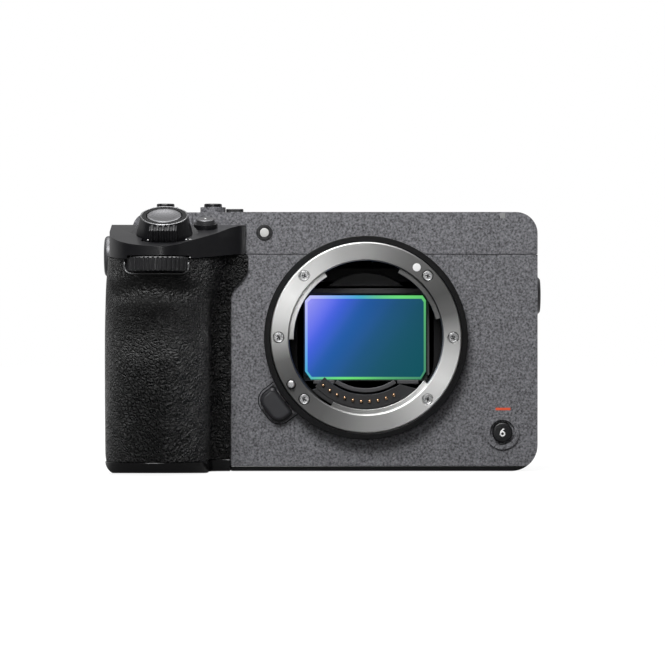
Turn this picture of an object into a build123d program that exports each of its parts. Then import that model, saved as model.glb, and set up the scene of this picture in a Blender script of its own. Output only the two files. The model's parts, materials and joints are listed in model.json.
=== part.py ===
from build123d import *
from math import cos, hypot, pi, radians, sin, tan
import os

# Cinema camera body with a handgrip and an open lens mount.
# Millimetres, +Z up, +X to the right seen from the front, +Y towards the back.
# The origin is the mouth of the tripod thread, on the optical axis seen from the front.

# Body
body_right = 51.6
body_left = -76.2
head_room = 23.1
top_cover_height = 12.7
body_front = -20.0
body_back = 22.0
wall = 1.8
seam = 0.2
corner_top = 6.5
corner_bottom = 7.8
corner_back = 5.0
shoulder_left = -70.3
shoulder_height = 3.85
shoulder_radius = 5.2
raised_front = -17.0
side_split = -1.0
base_thick = 1.6
pad_left = -46.0
panel_left = -40.5

# Grip
skin_thick = 1.0
shell_thick = 1.2
grip_base_height = 3.6
grip_corner = 4.2
side_bulge = 1.1
nose_lift = 2.2
deck_slope = 15.0
trim_slope = 5.0
top_wall = 1.8

# Lens mount
axis_height = 40.1
flange_height = 4.5
throat_radius = 23.05
tab_reach = 1.45
ring_width = 5.55
collar_width = 1.9
ring_thick = 2.5
screw_reach = 3.05
screw_angles = (0, 45, 135, 180, 225, 315)
screw_head_radius = 1.43
screw_shank_radius = 0.8
tab_arcs = ((122.5, 59.0), (14.5, 49.1), (243.0, 80.0))
pin_reach = 3.35
pin_angle = 212.0
pin_radius = 1.15
pin_rise = 1.4
release_angle = 217.0
release_width = 10.0
release_length = 6.2
release_travel = 1.5
contact_reach = 3.85
contact_start = 228.2
contact_step = 7.52
contact_count = 10
contact_radius = 0.45
contact_end_angle = 4.2
contact_half_width = 2.0

# Imaging
flange_distance = 18.0
sensor_width = 35.6
sensor_height = 23.8
gate_width = 37.2
gate_height = 25.8
shift_travel = 0.8

# Threads for tripods and accessories, 1/4-20
thread_radius = 3.175
thread_depth = 6.0
insert_radius = 4.6
top_insert_xs = (-24.0, 24.0, 42.0)
top_insert_y = 6.0
right_boss_radius = 6.1
right_boss_rise = 2.6
right_boss_y = 12.0
right_boss_z = 53.0
left_boss_radius = 6.3
left_boss_rise = 3.8
left_boss_y = 4.5
left_boss_drop = 0.1

# Accessory shoe
shoe_width = 22.0
shoe_slot_width = 18.7
shoe_gap = 12.6
shoe_slot_height = 2.3
shoe_front = 3.0
shoe_lip = 1.5
shoe_floor = 1.4
shoe_drop = 0.8

# Battery and its door
battery_width = 22.7
battery_depth = 38.7
battery_height = 51.7
battery_left = -73.2
battery_front = -32.5
door_thick = 2.4
door_rise = 0.2
door_gap = 0.3
door_pin_radius = 0.8
latch_travel = 1.6

# Cards
card_door_front = 0.6
card_door_back = 15.4
card_door_low = 18.0
card_door_high = 56.0
card_door_thick = 1.6
pivot_radius = 0.45
pivot_length = 1.0
card_slot_width = 25.0
card_slot_thick = 2.6
card_slot_depth = 28.0

# Monitor
monitor_left = -27.0
monitor_right = 43.5
monitor_low = 8.0
monitor_drop = 3.1
monitor_gap = 0.4
monitor_thick = 8.6
glass_thick = 0.8
glass_border = 1.6
hinge_x = 48.6
hinge_radius = 2.9
hinge_pin_radius = 1.5
hinge_low = 18.0
hinge_high = 50.0
knuckle_height = 3.8
tilt_shaft_radius = 1.8

# Ports
port_front = -17.0
port_back = -3.0
port_drop = 2.6
port_height = 16.0
port_rib = 3.0
port_cover_thick = 1.6
port_gap = 0.2
port_block_depth = 12.0

# Controls
lever_x = -59.9
lever_y = -30.8
lever_tilt = 25.0
lever_base_radius = 8.35
lever_top_radius = 7.1
lever_height = 5.6
lever_lift = 0.1
lever_tab_reach = 11.2
shutter_radius = 5.2
shutter_cap_thick = 1.8
shutter_cap_rise = 0.2
shutter_travel = 1.0
record_x = -48.0
record_y = -23.4
record_radius = 2.75
record_collar_radius = 3.6
record_collar_rise = 1.3
press_travel = 0.7
top_button_xs = (-60.7, -46.3)
top_button_y = -8.0
top_button_radius = 2.7
top_collar_radius = 3.85
top_collar_height = 1.8
switch_x = -39.65
switch_y = -9.5
switch_travel = 3.0
front_dial_x = -61.75
front_dial_y = -37.4
front_dial_radius = 9.8
front_dial_drop = 5.6
front_dial_height = 4.4
rear_dial_x = -62.0
rear_dial_y = 14.6
rear_dial_radius = 9.5
rear_dial_drop = 6.3
rear_dial_height = 3.8
dial_pin_radius = 1.5
dial_gap = 0.3
knurl_pitch = 1.45
dial_pin_rise = 1.5
running_gap = 0.06
front_button_x = 41.0
front_button_z = 11.6
front_button_radius = 2.94
front_recess_radius = 3.8
front_ring_radius = 5.1
front_ring_rise = 0.6
wheel_x = -52.0
wheel_z = 23.0
wheel_radius = 10.6
wheel_back = 23.4
wheel_thick = 2.8
wheel_button_radius = 4.65
stick_x = -47.0
stick_drop = 16.1
stick_pivot = 17.6
menu_x = -36.0
menu_drop = 7.1
menu_radius = 2.6

# Lamps
af_x = -30.45
af_drop = 6.2
af_radius = 2.45
tally_x = 41.1
tally_drop = 0.3
tally_side = 1.6

# Cooling
fan_x = 37.5
fan_z = 15.8
fan_radius = 9.0
fan_blades = 9
vent_count = 5
vent_low = 9.6
vent_pitch = 2.8
vent_width = 1.4
vent_front = -15.0
vent_back = -4.0

# Places that follow from the sizes above
door_high = door_rise + door_thick
battery_low = door_high + 0.4
body_top = battery_low + battery_height + head_room
cover_split = body_top - top_cover_height
deck_height = body_top - shoulder_height
shoe_top = body_top - shoe_drop
front_dial_low = cover_split - front_dial_drop
dial_pin_top = front_dial_low + front_dial_height + dial_pin_rise
rear_dial_low = deck_height - rear_dial_drop
left_boss_z = cover_split - left_boss_drop
monitor_high = cover_split - monitor_drop
upper_port_high = cover_split - port_drop
upper_port_low = upper_port_high - port_height
lower_port_high = upper_port_low - port_rib
lower_port_low = lower_port_high - port_height
stick_z = cover_split - stick_drop
menu_z = cover_split - menu_drop
af_z = body_top - af_drop
tally_z = body_top - tally_drop - tally_side / 2
ring_radius = throat_radius + ring_width
collar_radius = ring_radius + collar_width
tab_radius = throat_radius - tab_reach
screw_circle = throat_radius + screw_reach
pin_circle = throat_radius + pin_reach
contact_circle = throat_radius - contact_reach
top_button_high = body_top + top_collar_height + press_travel + 0.4
shutter_top = lever_lift + lever_height + shutter_cap_rise
flange_y = body_front - flange_height
sensor_y = flange_y + flange_distance
inner_front = body_front + wall
inner_back = body_back - wall
inner_right = body_right - wall
inner_left = body_left + wall
inner_top = body_top - wall
monitor_front = body_back + monitor_gap
monitor_back = monitor_front + monitor_thick
hinge_y = monitor_front + monitor_thick / 2 - 0.1
far = 200.0

os.makedirs("parts", exist_ok=True)


def block(x0, x1, y0, y1, z0, z1):
    place = Pos((x0 + x1) / 2, (y0 + y1) / 2, (z0 + z1) / 2)
    return place * Box(x1 - x0, y1 - y0, z1 - z0)


def rod_x(y, z, x0, x1, radius):
    return Pos((x0 + x1) / 2, y, z) * Rot(0, 90, 0) * Cylinder(radius, x1 - x0)


def rod_y(x, z, y0, y1, radius):
    return Pos(x, (y0 + y1) / 2, z) * Rot(90, 0, 0) * Cylinder(radius, y1 - y0)


def rod_z(x, y, z0, z1, radius):
    return Pos(x, y, (z0 + z1) / 2) * Cylinder(radius, z1 - z0)


def rod_on(plane, low, high, radius):
    return plane.location * Pos(0, 0, (low + high) / 2) * Cylinder(radius, high - low)


def round_edges(solid, axis, radius, pick):
    edges = [edge for edge in solid.edges().filter_by(axis) if pick(edge.center())]
    return fillet(edges, radius)


# The lens plane: its x is the object's X, its y is the object's Z and its z points to the front.
lens = Plane(origin=(0, 0, axis_height), x_dir=(1, 0, 0), z_dir=(0, -1, 0))


def lens_disc(radius, front, back):
    return rod_on(lens, -back, -front, radius)


def lens_ring(inner, outer, front, back):
    return lens_disc(outer, front, back) - lens_disc(inner, front - 1, back + 1)


def lens_sector(inner, outer, start, sweep, front, back):
    outer_arc = CenterArc((0, 0), outer, start, sweep)
    inner_arc = CenterArc((0, 0), inner, start, sweep)
    ends = [Line(outer_arc @ 1, inner_arc @ 1), Line(inner_arc @ 0, outer_arc @ 0)]
    face = make_face([outer_arc, inner_arc] + ends)
    return lens.location * Pos(0, 0, -back) * extrude(face, back - front)


def lens_rod(circle, angle, front, back, radius):
    x = circle * cos(radians(angle))
    z = axis_height + circle * sin(radians(angle))
    return rod_y(x, z, front, back, radius)


def lens_rods(circle, angles, front, back, radius):
    return [lens_rod(circle, angle, front, back, radius) for angle in angles]


def body_form(inset=0.0):
    """The whole body without the front of the grip, drawn in by inset on every face."""
    right = body_right - inset
    front = body_front + inset
    back = body_back - inset
    high = block(shoulder_left + inset, right, front, back, inset, body_top - inset)
    high = round_edges(high, Axis.Y, corner_top - inset,
                       lambda p: p.X > 0 and p.Z > 40)
    high = round_edges(high, Axis.Y, corner_bottom - inset,
                       lambda p: p.X > 0 and p.Z < 40)
    high = round_edges(high, Axis.Y, shoulder_radius - inset / 2,
                       lambda p: p.X < 0 and p.Z > 40)
    low = block(body_left + inset, 0, front, back, inset, deck_height - inset)
    low = round_edges(low, Axis.Z, corner_back - inset,
                      lambda p: p.X < -40 and p.Y > 0)
    return high + low


body = body_form()
cavity = body_form(wall)

# Each grip level: height, pad length, then points (from the left side, from the panel forwards)
# at the root, flank, shoulder and nose of the section, where the side starts, and its share of the bulge.
grip_levels = (
    (-1.0, 34.7, (30.8, 2.0), (29.4, 9.0), (26.8, 20.0), (15.0, 28.5), 12.0, 1.0),
    (12.0, 34.7, (30.8, 2.0), (29.6, 10.0), (27.4, 22.0), (15.0, 31.6), 13.0, 1.0),
    (24.0, 34.7, (30.8, 2.0), (29.6, 10.0), (27.6, 23.0), (15.0, 33.2), 14.0, 1.0),
    (34.0, 34.7, (30.8, 2.0), (29.6, 10.0), (27.6, 23.0), (15.0, 33.5), 14.0, 1.0),
    (42.0, 34.7, (30.9, 2.0), (29.6, 9.8), (27.4, 21.4), (15.1, 30.4), 12.8, 1.1),
    (47.0, 34.8, (31.1, 2.0), (29.6, 9.6), (27.2, 18.2), (15.3, 26.4), 11.2, 1.15),
    (51.0, 34.9, (31.4, 2.0), (29.6, 9.2), (27.0, 15.8), (15.4, 23.0), 10.0, 1.15),
    (54.5, 36.2, (32.9, 2.1), (30.3, 9.0), (26.5, 15.4), (15.6, 22.6), 9.2, 1.1),
    (59.5, 38.0, (35.1, 2.2), (31.2, 9.8), (25.9, 18.4), (15.9, 25.8), 8.4, 0.85),
    (64.0, 39.2, (37.0, 2.4), (31.8, 10.5), (25.0, 19.2), (16.0, 26.6), 8.0, 0.2),
    (deck_height + 1.5, 39.2, (37.0, 2.4), (31.8, 10.5), (24.8, 19.0), (16.0, 26.0), 8.0, 0.1),
)
point_normals = ((0.45, 0.9), (0.93, 0.36), (0.86, 0.5), (0.0, 1.0))


def grip_section(level, inset, reach, extra):
    """One closed section of the grip, drawn in by inset and longer to the right by reach."""
    height, pad = level[0], level[1]
    start = (body_left + pad, body_front - skin_thick + inset)
    line = [start]
    for point, normal in zip(level[2:6], point_normals):
        x = body_left + point[0] - normal[0] * inset
        y = body_front - point[1] + normal[1] * inset
        line.append((x, y))
    left = body_left + inset
    bulged = left - side_bulge * level[7]
    nose = line[-1]
    side = (bulged, body_front - level[6])
    cheek = (bulged + 0.27 * (nose[0] - bulged), side[1] + 0.73 * (nose[1] - side[1]))
    flush = (left, side_split - 1.0)
    back = 2.0 + extra
    right = (start[0] + 1.0 + reach, start[1])
    along = (flush[0] - side[0], flush[1] - side[1])
    edges = [
        Line(right, start),
        Spline(*line, tangents=[(-1, 0), (-1, 0)], tangent_scalars=[1, 1]),
        Spline(nose, cheek, side, tangents=[(-1, 0), along], tangent_scalars=[1, 1]),
        Line(side, flush),
        Line(flush, (left, back)),
        Line((left, back), (right[0], back)),
        Line((right[0], back), right),
    ]
    return Plane.XY.offset(height) * make_face(edges)


def grip_form(inset=0.0, reach=0.0, extra=0.0):
    sections = []
    for number, level in enumerate(grip_levels):
        height = level[0]
        if number == 0:
            height -= extra
        if number == len(grip_levels) - 1:
            height += extra
        sections.append(grip_section((height,) + level[1:], inset, reach, extra))
    return loft(sections, ruled=True)


grip = grip_form()
under_skin = grip_form(skin_thick, 8.0, 3.0)
under_shell = grip_form(skin_thick + shell_thick, 8.0, 4.0)
under_top = grip_form(top_wall, 8.0, 4.0)

deck = Plane(origin=(0, body_front, deck_height), x_dir=(1, 0, 0),
             z_dir=(0, -sin(radians(deck_slope)), cos(radians(deck_slope))))
trim = Plane(origin=(0, body_front, cover_split), x_dir=(1, 0, 0),
             z_dir=(0, -sin(radians(trim_slope)), cos(radians(trim_slope))))


def above(plane, lift=0.0):
    """Everything in front of the panel that lies above a plane."""
    return plane.location * block(-far, far, -far, 0, lift, far)


def below(plane, lift=0.0):
    return plane.location * block(-far, far, -far, 1, -far, lift)


def deck_point(x, y):
    return (x, y, deck_height + (y - body_front) * tan(radians(deck_slope)))


lever = Plane(origin=deck_point(lever_x, lever_y), x_dir=(1, 0, 0),
              z_dir=(0, -sin(radians(lever_tilt)), cos(radians(lever_tilt))))
record = Plane(origin=deck_point(record_x, record_y), x_dir=(1, 0, 0), z_dir=deck.z_dir)


def insert_body(place, length, radius, hole_radius=thread_radius, hole_depth=thread_depth):
    """A threaded insert, its mouth at the place's origin and its body below it."""
    solid = place * Pos(0, 0, -length / 2) * Cylinder(radius, length)
    hole = place * Pos(0, 0, -hole_depth / 2) * Cylinder(hole_radius, hole_depth)
    return solid - hole


# Places of the threaded inserts, each with z out of its mouth.
top_inserts = [Location((x, top_insert_y, body_top)) for x in top_insert_xs]
right_insert = Location((body_right + right_boss_rise, right_boss_y, right_boss_z), (0, 90, 0))
left_insert = Location((body_left - left_boss_rise, left_boss_y, left_boss_z), (0, -90, 0))
insert_length = thread_depth + 1.5
right_insert_body = insert_length + right_boss_rise
left_insert_body = insert_length + 0.5


def slotted_tab(clear, front, back):
    """The outline of the lens release tab on the lens plane, grown by clear."""
    start = collar_radius + 0.5 - clear
    length = release_length + 2 * clear
    width = release_width + 2 * clear
    tab = Pos(start + length / 2, 0, 0) * Box(length, width, back - front)
    tab = fillet([e for e in tab.edges().filter_by(Axis.Z) if e.center().X > start + 1], 3.2 + clear)
    return lens.location * Rot(0, 0, release_angle) * Pos(0, 0, -(front + back) / 2) * tab


def side_door(outside, thick, front, back, low, high, hinge_front):
    """A flat side door whose hinge edge is round, with a pivot at each end of that edge."""
    inside = outside - thick if outside > 0 else outside + thick
    near, end = sorted((inside, outside))
    axis_x = (inside + outside) / 2
    axis_y = front + thick / 2 if hinge_front else back - thick / 2
    flat_front, flat_back = (axis_y, back) if hinge_front else (front, axis_y)
    door = block(near, end, flat_front, flat_back, low, high)
    door += rod_z(axis_x, axis_y, low, high, thick / 2)
    return door + rod_z(axis_x, axis_y, low - pivot_length, high + pivot_length, pivot_radius)


def side_pivots(outside, thick, axis_y, low, high):
    """The holes in a cover for the pivots of a side door."""
    axis_x = outside - thick / 2 if outside > 0 else outside + thick / 2
    reach = pivot_length + 0.1
    return rod_z(axis_x, axis_y, low - reach, high + reach, pivot_radius + running_gap)


def front_cover():
    outer = body & block(pad_left, far, body_front, side_split - seam / 2,
                         base_thick, cover_split - seam / 2)
    outer -= cavity + block(-far, body_right - corner_bottom, inner_front, far, 0, far)
    outer -= block(-far, panel_left, -far, far, 0, grip_base_height + 0.1)
    ring_front = body_front - front_ring_rise
    outer += rod_y(front_button_x, front_button_z, ring_front, inner_front, front_ring_radius)
    outer -= rod_y(front_button_x, front_button_z, -far, ring_front + 1.2, front_recess_radius)
    outer -= rod_y(front_button_x, front_button_z, -far, 0, front_button_radius + 0.1)
    outer -= lens_disc(throat_radius + 1.25, -far, 0)
    outer -= slotted_tab(0.35, body_front - 1, inner_front + 1)
    outer -= lens_rods(screw_circle, screw_angles, -far, 0, screw_shank_radius)
    outer -= lens_rod(pin_circle, pin_angle, -far, 0, pin_radius + 0.23)
    for low, high in ((upper_port_low, upper_port_high), (lower_port_low, lower_port_high)):
        outer -= block(inner_right - 1, far, port_front, port_back, low, high)
        pivot_y = port_back - port_gap - port_cover_thick / 2
        outer -= side_pivots(body_right, port_cover_thick, pivot_y, low + port_gap, high - port_gap)
    for k in range(vent_count):
        low = vent_low + vent_pitch * k
        outer -= block(inner_right - 1, far, vent_front, vent_back, low, low + vent_width)
    return outer


def top_cover():
    main = body & block(panel_left, far, body_front, far, cover_split + seam / 2, far)
    left = body & block(-far, panel_left, raised_front, far, deck_height, far)
    hollow = cavity & block(panel_left + wall, far, -far, far, 0, far)
    left_hollow = cavity & block(-far, 0, raised_front + wall, far, deck_height - 1, far)
    cover = main + left - hollow - left_hollow
    shoe_half = shoe_width / 2
    bed_low = shoe_top - shoe_lip - shoe_slot_height - shoe_floor
    cover += block(-shoe_half - 1.5, shoe_half + 1.5, shoe_front - 1.5, inner_back + 0.5,
                   bed_low - 1.6, inner_top)
    cover -= block(-shoe_half, shoe_half, shoe_front, far, bed_low, far)
    for x in top_insert_xs:
        cover += rod_z(x, top_insert_y, body_top - insert_length - 0.8, inner_top, insert_radius + 1.5)
        cover -= rod_z(x, top_insert_y, body_top - insert_length, body_top + 1, insert_radius)
    for x in top_button_xs:
        cover += rod_z(x, top_button_y, body_top, body_top + top_collar_height, top_collar_radius)
        cover -= rod_z(x, top_button_y, deck_height, far, top_button_radius + 0.1)
    cover -= block(switch_x - 0.9, switch_x + 0.9, switch_y - 1.2, switch_y + 1.2 + switch_travel,
                   inner_top - 1, far)
    cover -= rod_y(af_x, af_z, -far, 0, af_radius)
    tally_half = tally_side / 2
    cover -= block(tally_x - tally_half, tally_x + tally_half, -far, 0,
                   tally_z - tally_half, tally_z + tally_half)
    return cover


reader_front = battery_front + battery_depth + 0.6
reader_back = 15.2
wheel_seat = wheel_back - wheel_thick - 0.2


def joystick_lugs():
    lugs = []
    for side in (-1, 1):
        near, end = sorted((stick_x + side * 5.5, stick_x + side * 7.5))
        lugs.append(block(near, end, stick_pivot - 1.6, inner_back + 0.2, stick_z - 1.6, stick_z + 1.6))
    return lugs


def rear_cover():
    low_left = block(-far, panel_left, side_split + seam / 2, far, grip_base_height, cover_split - seam / 2)
    low_right = block(panel_left, far, side_split + seam / 2, far, base_thick, cover_split - seam / 2)
    cover = body & (low_left + low_right)
    cover -= cavity + block(inner_left, body_right - corner_bottom, -far, inner_back, 0, 20)
    cover -= block(inner_left + corner_back, inner_right - 3, -far, inner_back, 0, far)
    for x in (-28.0, 40.0):
        for z in (12.0, 44.0):
            cover += rod_y(x, z, 4.1, inner_back + 0.5, 2.2)
    for x, z in ((-68.0, 28.0), (-68.0, 50.0), (-44.0, 36.0)):
        cover += rod_y(x, z, reader_back, inner_back + 0.5, 1.8)
    cover += rod_y(wheel_x, wheel_z, wheel_seat - 1.8, body_back - 0.5, wheel_radius + 1.6)
    cover -= rod_y(wheel_x, wheel_z, wheel_seat, far, wheel_radius + 0.25)
    cover += rod_y(wheel_x, wheel_z, wheel_seat - 0.4, wheel_back - 0.8, wheel_button_radius + 0.7)
    cover -= rod_y(wheel_x, wheel_z, wheel_seat - press_travel - 0.1, far, wheel_button_radius + 0.1)
    cover += joystick_lugs()
    cover -= rod_x(stick_pivot, stick_z, stick_x - 7.1, stick_x + 7.1, 0.6 + running_gap)
    cover -= rod_y(stick_x, stick_z, inner_back - 0.5, far, 3.4)
    cover -= rod_y(menu_x, menu_z, inner_back - 1, far, menu_radius + 0.1)
    cover -= block(-far, inner_left + 1, card_door_front, card_door_back, card_door_low, card_door_high)
    pivot_y = card_door_front + port_gap + card_door_thick / 2
    cover -= side_pivots(body_left, card_door_thick, pivot_y, card_door_low + port_gap,
                         card_door_high - port_gap)
    boss_end = body_right + right_boss_rise - right_insert_body
    cover += rod_x(right_boss_y, right_boss_z, boss_end, inner_right + 0.5, insert_radius + 1.4)
    cover -= rod_x(right_boss_y, right_boss_z, boss_end, far, insert_radius)
    cover -= rod_x(left_boss_y, left_boss_z, -far, inner_left + 1, insert_radius)
    return cover


def bottom_plate():
    plate = body & block(panel_left, far, -far, far, 0, base_thick)
    return plate - rod_z(0, 0, -1, 3, 6.0)


def window_cut():
    low = front_dial_low - dial_gap
    high = front_dial_low + front_dial_height + dial_gap
    return rod_z(front_dial_x, front_dial_y, low, high, front_dial_radius + 0.5)


def panel_zone():
    """The space of the painted front cover under the leather pad."""
    return block(pad_left - 0.2, far, body_front, far, -far, far)


def grip_shell():
    shell = under_skin - under_shell
    shell &= block(-far, far, -far, side_split - seam / 2, grip_base_height, far)
    shell &= below(trim, -seam / 2) + block(-far, far, body_front - 0.1, far, 0, cover_split - seam / 2)
    shell -= panel_zone()
    shell -= block(-far, far, -far, far, cover_split + 2.9, far)
    shelf_top = front_dial_low - dial_gap
    shelf = rod_z(front_dial_x, front_dial_y, shelf_top - 1.6, shelf_top, 6.0)
    shelf += block(front_dial_x - 6, front_dial_x + 6, -far, front_dial_y, shelf_top - 1.6, shelf_top)
    shell += shelf & under_skin
    return shell - window_cut()


def grip_skin():
    skin = grip - under_skin
    skin &= block(-far, far, -far, side_split - seam / 2, grip_base_height + 0.1, far)
    skin &= below(trim, -seam / 2) + block(-far, far, body_front - 0.1, far, 0, cover_split - seam / 2)
    skin -= panel_zone()
    skin -= block(-far, far, -far, far, cover_split + 2.9, far)
    return skin - window_cut()


def grip_top_cover():
    outer = grip & block(-far, far, -far, side_split + 1, 0, far)
    behind = body & block(body_left, panel_left - 0.1, body_front + 0.5, far, 0, far)
    outer += behind
    outer &= block(-far, far, -far, far, cover_split - 5.1, deck_height)
    outer -= above(deck)
    outer -= below(trim, seam / 2)
    outer -= block(-far, far, body_front - 0.5, far, 0, cover_split + seam / 2)
    outer -= block(panel_left - 0.1, far, body_front, far, 0, far)
    hollow = under_top & block(-far, panel_left - 0.1 - wall, -far, side_split + 1, 0, far)
    back_hollow = cavity & block(-far, panel_left - 0.1 - wall, body_front - 6, far, 0, far)
    hollow += back_hollow
    hollow &= block(-far, far, -far, far, 0, deck_height - top_wall)
    hollow -= above(deck, -top_wall)
    cover = outer - hollow
    lever_seat = lever_lift - 0.2
    tab_bed = lever.location * block(-7.5, 7.5, -far, 0, -far, far)
    boss = rod_on(lever, -3.0, lever_seat, lever_base_radius + 1.6)
    boss += rod_on(lever, -3.0, lever_seat, lever_tab_reach + 1.4) & tab_bed
    cover += (boss & under_skin) - below(trim, seam / 2)
    cover -= rod_on(lever, lever_seat, 20, lever_base_radius + 0.45)
    tab_path = lever.location * block(-6.4, 6.4, -far, 0, -far, far)
    cover -= rod_on(lever, lever_seat, 20, lever_tab_reach + 0.4) & tab_path
    cover -= rod_on(lever, -9, 9, 4.5 + running_gap)
    cover -= window_cut()
    cover += rod_on(record, -1.8, record_collar_rise, record_collar_radius)
    cover -= rod_on(record, -9, 9, record_radius + 0.1)
    cover += rod_z(front_dial_x, front_dial_y, front_dial_low - 0.2, dial_pin_top, dial_pin_radius)
    boss_low = front_dial_low + front_dial_height + dial_gap
    cover += rod_z(front_dial_x, front_dial_y, boss_low, dial_pin_top, 2 * dial_pin_radius)
    low = rear_dial_low - dial_gap
    high = rear_dial_low + rear_dial_height + dial_gap
    cover -= rod_z(rear_dial_x, rear_dial_y, low, high, rear_dial_radius + 0.4)
    cover += rod_z(rear_dial_x, rear_dial_y, rear_dial_low - 0.2, deck_height - 1, dial_pin_radius)
    cover -= rod_x(left_boss_y, left_boss_z, -far, inner_left + 1, insert_radius)
    return cover


# The battery door closes the opening under the battery and turns on a pin along its back edge.
door_left = battery_left - 0.4
door_right = battery_left + battery_width + 0.6
door_front = battery_front - 1.0
door_back = battery_front + battery_depth + 0.6
door_barrel = door_thick / 2 + 0.2
door_pin_y = door_back + door_barrel
door_pin_z = door_rise + door_barrel
latch_x = (door_left + door_right) / 2
latch_back = door_front + 8.4


def grip_base():
    base = grip & block(-far, panel_left - 0.1, -far, side_split + 1, 0, grip_base_height)
    base += body & block(-far, panel_left - 0.1, body_front + 0.5, far, 0, grip_base_height)
    rim = block(body_left - side_bulge, 0, -far, far, 0, 20)
    base &= round_edges(rim, Axis.Y, grip_corner, lambda p: p.X < -40 and p.Z < 1)
    under_nose = Plane(origin=(0, door_front - 0.6, 0), x_dir=(1, 0, 0),
                       z_dir=(0, sin(radians(nose_lift)), cos(radians(nose_lift))))
    base -= below(under_nose)
    base -= block(door_left - door_gap, door_right + door_gap, door_front - door_gap, door_back + door_gap,
                  -1, far)
    swing_back = door_pin_y + hypot(door_barrel, door_barrel) + 0.2
    base -= block(door_left - door_gap, door_right + door_gap, door_back, swing_back, -1, far)
    base -= rod_x(door_pin_y, door_pin_z, door_left - 1.2, door_right + 1.2, door_pin_radius)
    base -= block(latch_x - 3.2, latch_x + 3.2, door_front - 1.4, door_front, 0.8, 2.3)
    return base


def battery_door():
    door = block(door_left, door_right, door_front, door_back, door_rise, door_high)
    barrel = rod_x(door_pin_y, door_pin_z, door_left + 1.0, door_right - 1.0, door_barrel)
    web = block(door_left + 1.0, door_right - 1.0, door_back - 0.5, door_pin_y, door_rise, door_pin_z)
    door += barrel + web
    door -= rod_x(door_pin_y, door_pin_z, -far, far, door_pin_radius + running_gap)
    slot_back = latch_back + latch_travel + 0.2
    door -= block(latch_x - 3.1, latch_x + 3.1, door_front - 1, slot_back, 0.9, 2.1)
    return door - block(latch_x - 2.2, latch_x + 2.2, door_front + 2, slot_back - 0.7, -1, 1.0)


def battery_latch():
    plate = block(latch_x - 3.0, latch_x + 3.0, door_front - 1.0, latch_back, 1.0, 2.0)
    for k in range(3):
        y = door_front + 3.6 + 1.2 * k
        plate += block(latch_x - 1.9, latch_x + 1.9, y, y + 0.6, 0.4, 1.0)
    return plate


def chassis():
    frame = block(-38, 36.5, inner_front, inner_front + 2.5, base_thick, cover_split - 1.6)
    frame += block(-38, 36.5, inner_front, 18, base_thick, 4.0)
    for side in (-1, 1):
        near, end = sorted((side * 29.0, side * 33.0))
        frame += block(near, end, inner_front + 2.5, sensor_y + 2.8, axis_height - 10.6, axis_height + 17.9)
    frame -= lens_disc(throat_radius + 0.15, -far, -10)
    frame -= slotted_tab(0.6, inner_front - 1, inner_front + release_travel + 0.4)
    frame -= lens_rods(screw_circle, screw_angles, -far, -10, screw_shank_radius)
    frame -= lens_rod(pin_circle, pin_angle, -far, -10, pin_radius + 0.23)
    return frame - rod_z(0, 0, -1, 9, 6.0)


def tripod_socket():
    socket = insert_body(Location((0, 0, 0), (180, 0, 0)), thread_depth + 1.5, 6.0)
    return chamfer(socket.edges().group_by(Axis.Z)[-1], 0.6)


def thread_inserts():
    group = [insert_body(place, insert_length, insert_radius) for place in top_inserts]
    right = insert_body(right_insert, right_insert_body, insert_radius)
    flange = rod_x(right_boss_y, right_boss_z, body_right, body_right + right_boss_rise, right_boss_radius)
    flange = chamfer(flange.edges().group_by(Axis.X)[-1], 1.0)
    right += flange - right_insert * Pos(0, 0, -3) * Cylinder(thread_radius, 6)
    left = insert_body(left_insert, left_insert_body, insert_radius)
    flange = rod_x(left_boss_y, left_boss_z, body_left - left_boss_rise, body_left, left_boss_radius)
    flange = fillet(flange.edges().group_by(Axis.X)[0], 1.2)
    left += flange - left_insert * Pos(0, 0, -3) * Cylinder(thread_radius, 6)
    return Compound(children=group + [right, left])


def accessory_shoe():
    half = shoe_width / 2
    rail_low = shoe_top - shoe_lip
    floor = rail_low - shoe_slot_height
    shoe = block(-half, half, shoe_front, body_back, floor - shoe_floor, shoe_top)
    shoe -= block(-shoe_slot_width / 2, shoe_slot_width / 2, shoe_front + 1, far, floor, rail_low)
    return shoe - block(-shoe_gap / 2, shoe_gap / 2, shoe_front + 1, far, floor, far)


def mount_collar():
    collar = lens_ring(ring_radius + 0.1, collar_radius, flange_y + 0.4, body_front)
    collar += lens_ring(throat_radius + 1.25, ring_radius + 0.2, flange_y + ring_thick, body_front)
    collar -= lens_rods(screw_circle, screw_angles, -far, 0, screw_shank_radius)
    return collar - lens_rod(pin_circle, pin_angle, -far, 0, pin_radius + 0.23)


def mount_ring():
    ring = lens_ring(throat_radius, ring_radius, flange_y, flange_y + ring_thick)
    ring = chamfer(ring.edges().filter_by(GeomType.CIRCLE).group_by(Axis.Y)[0], 0.3)
    ring += lens_ring(throat_radius, throat_radius + 1.15, flange_y + ring_thick, body_front)
    for start, sweep in tab_arcs:
        ring += lens_sector(tab_radius, throat_radius + 0.3, start, sweep, flange_y + 1.0, flange_y + 2.0)
    ring -= lens_rods(screw_circle, screw_angles, flange_y - 1, flange_y + 0.9, screw_head_radius + 0.27)
    ring -= lens_rods(screw_circle, screw_angles, -far, 0, screw_shank_radius)
    return ring - lens_rod(pin_circle, pin_angle, -far, 0, pin_radius + 0.23)


def cross_recess(circle, angle, face):
    x = circle * cos(radians(angle))
    z = axis_height + circle * sin(radians(angle))
    bars = block(-0.75, 0.75, face - 1, face + 0.45, -0.18, 0.18)
    bars += block(-0.18, 0.18, face - 1, face + 0.45, -0.75, 0.75)
    return Pos(x, 0, z) * Rot(0, 15 + angle, 0) * bars


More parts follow.
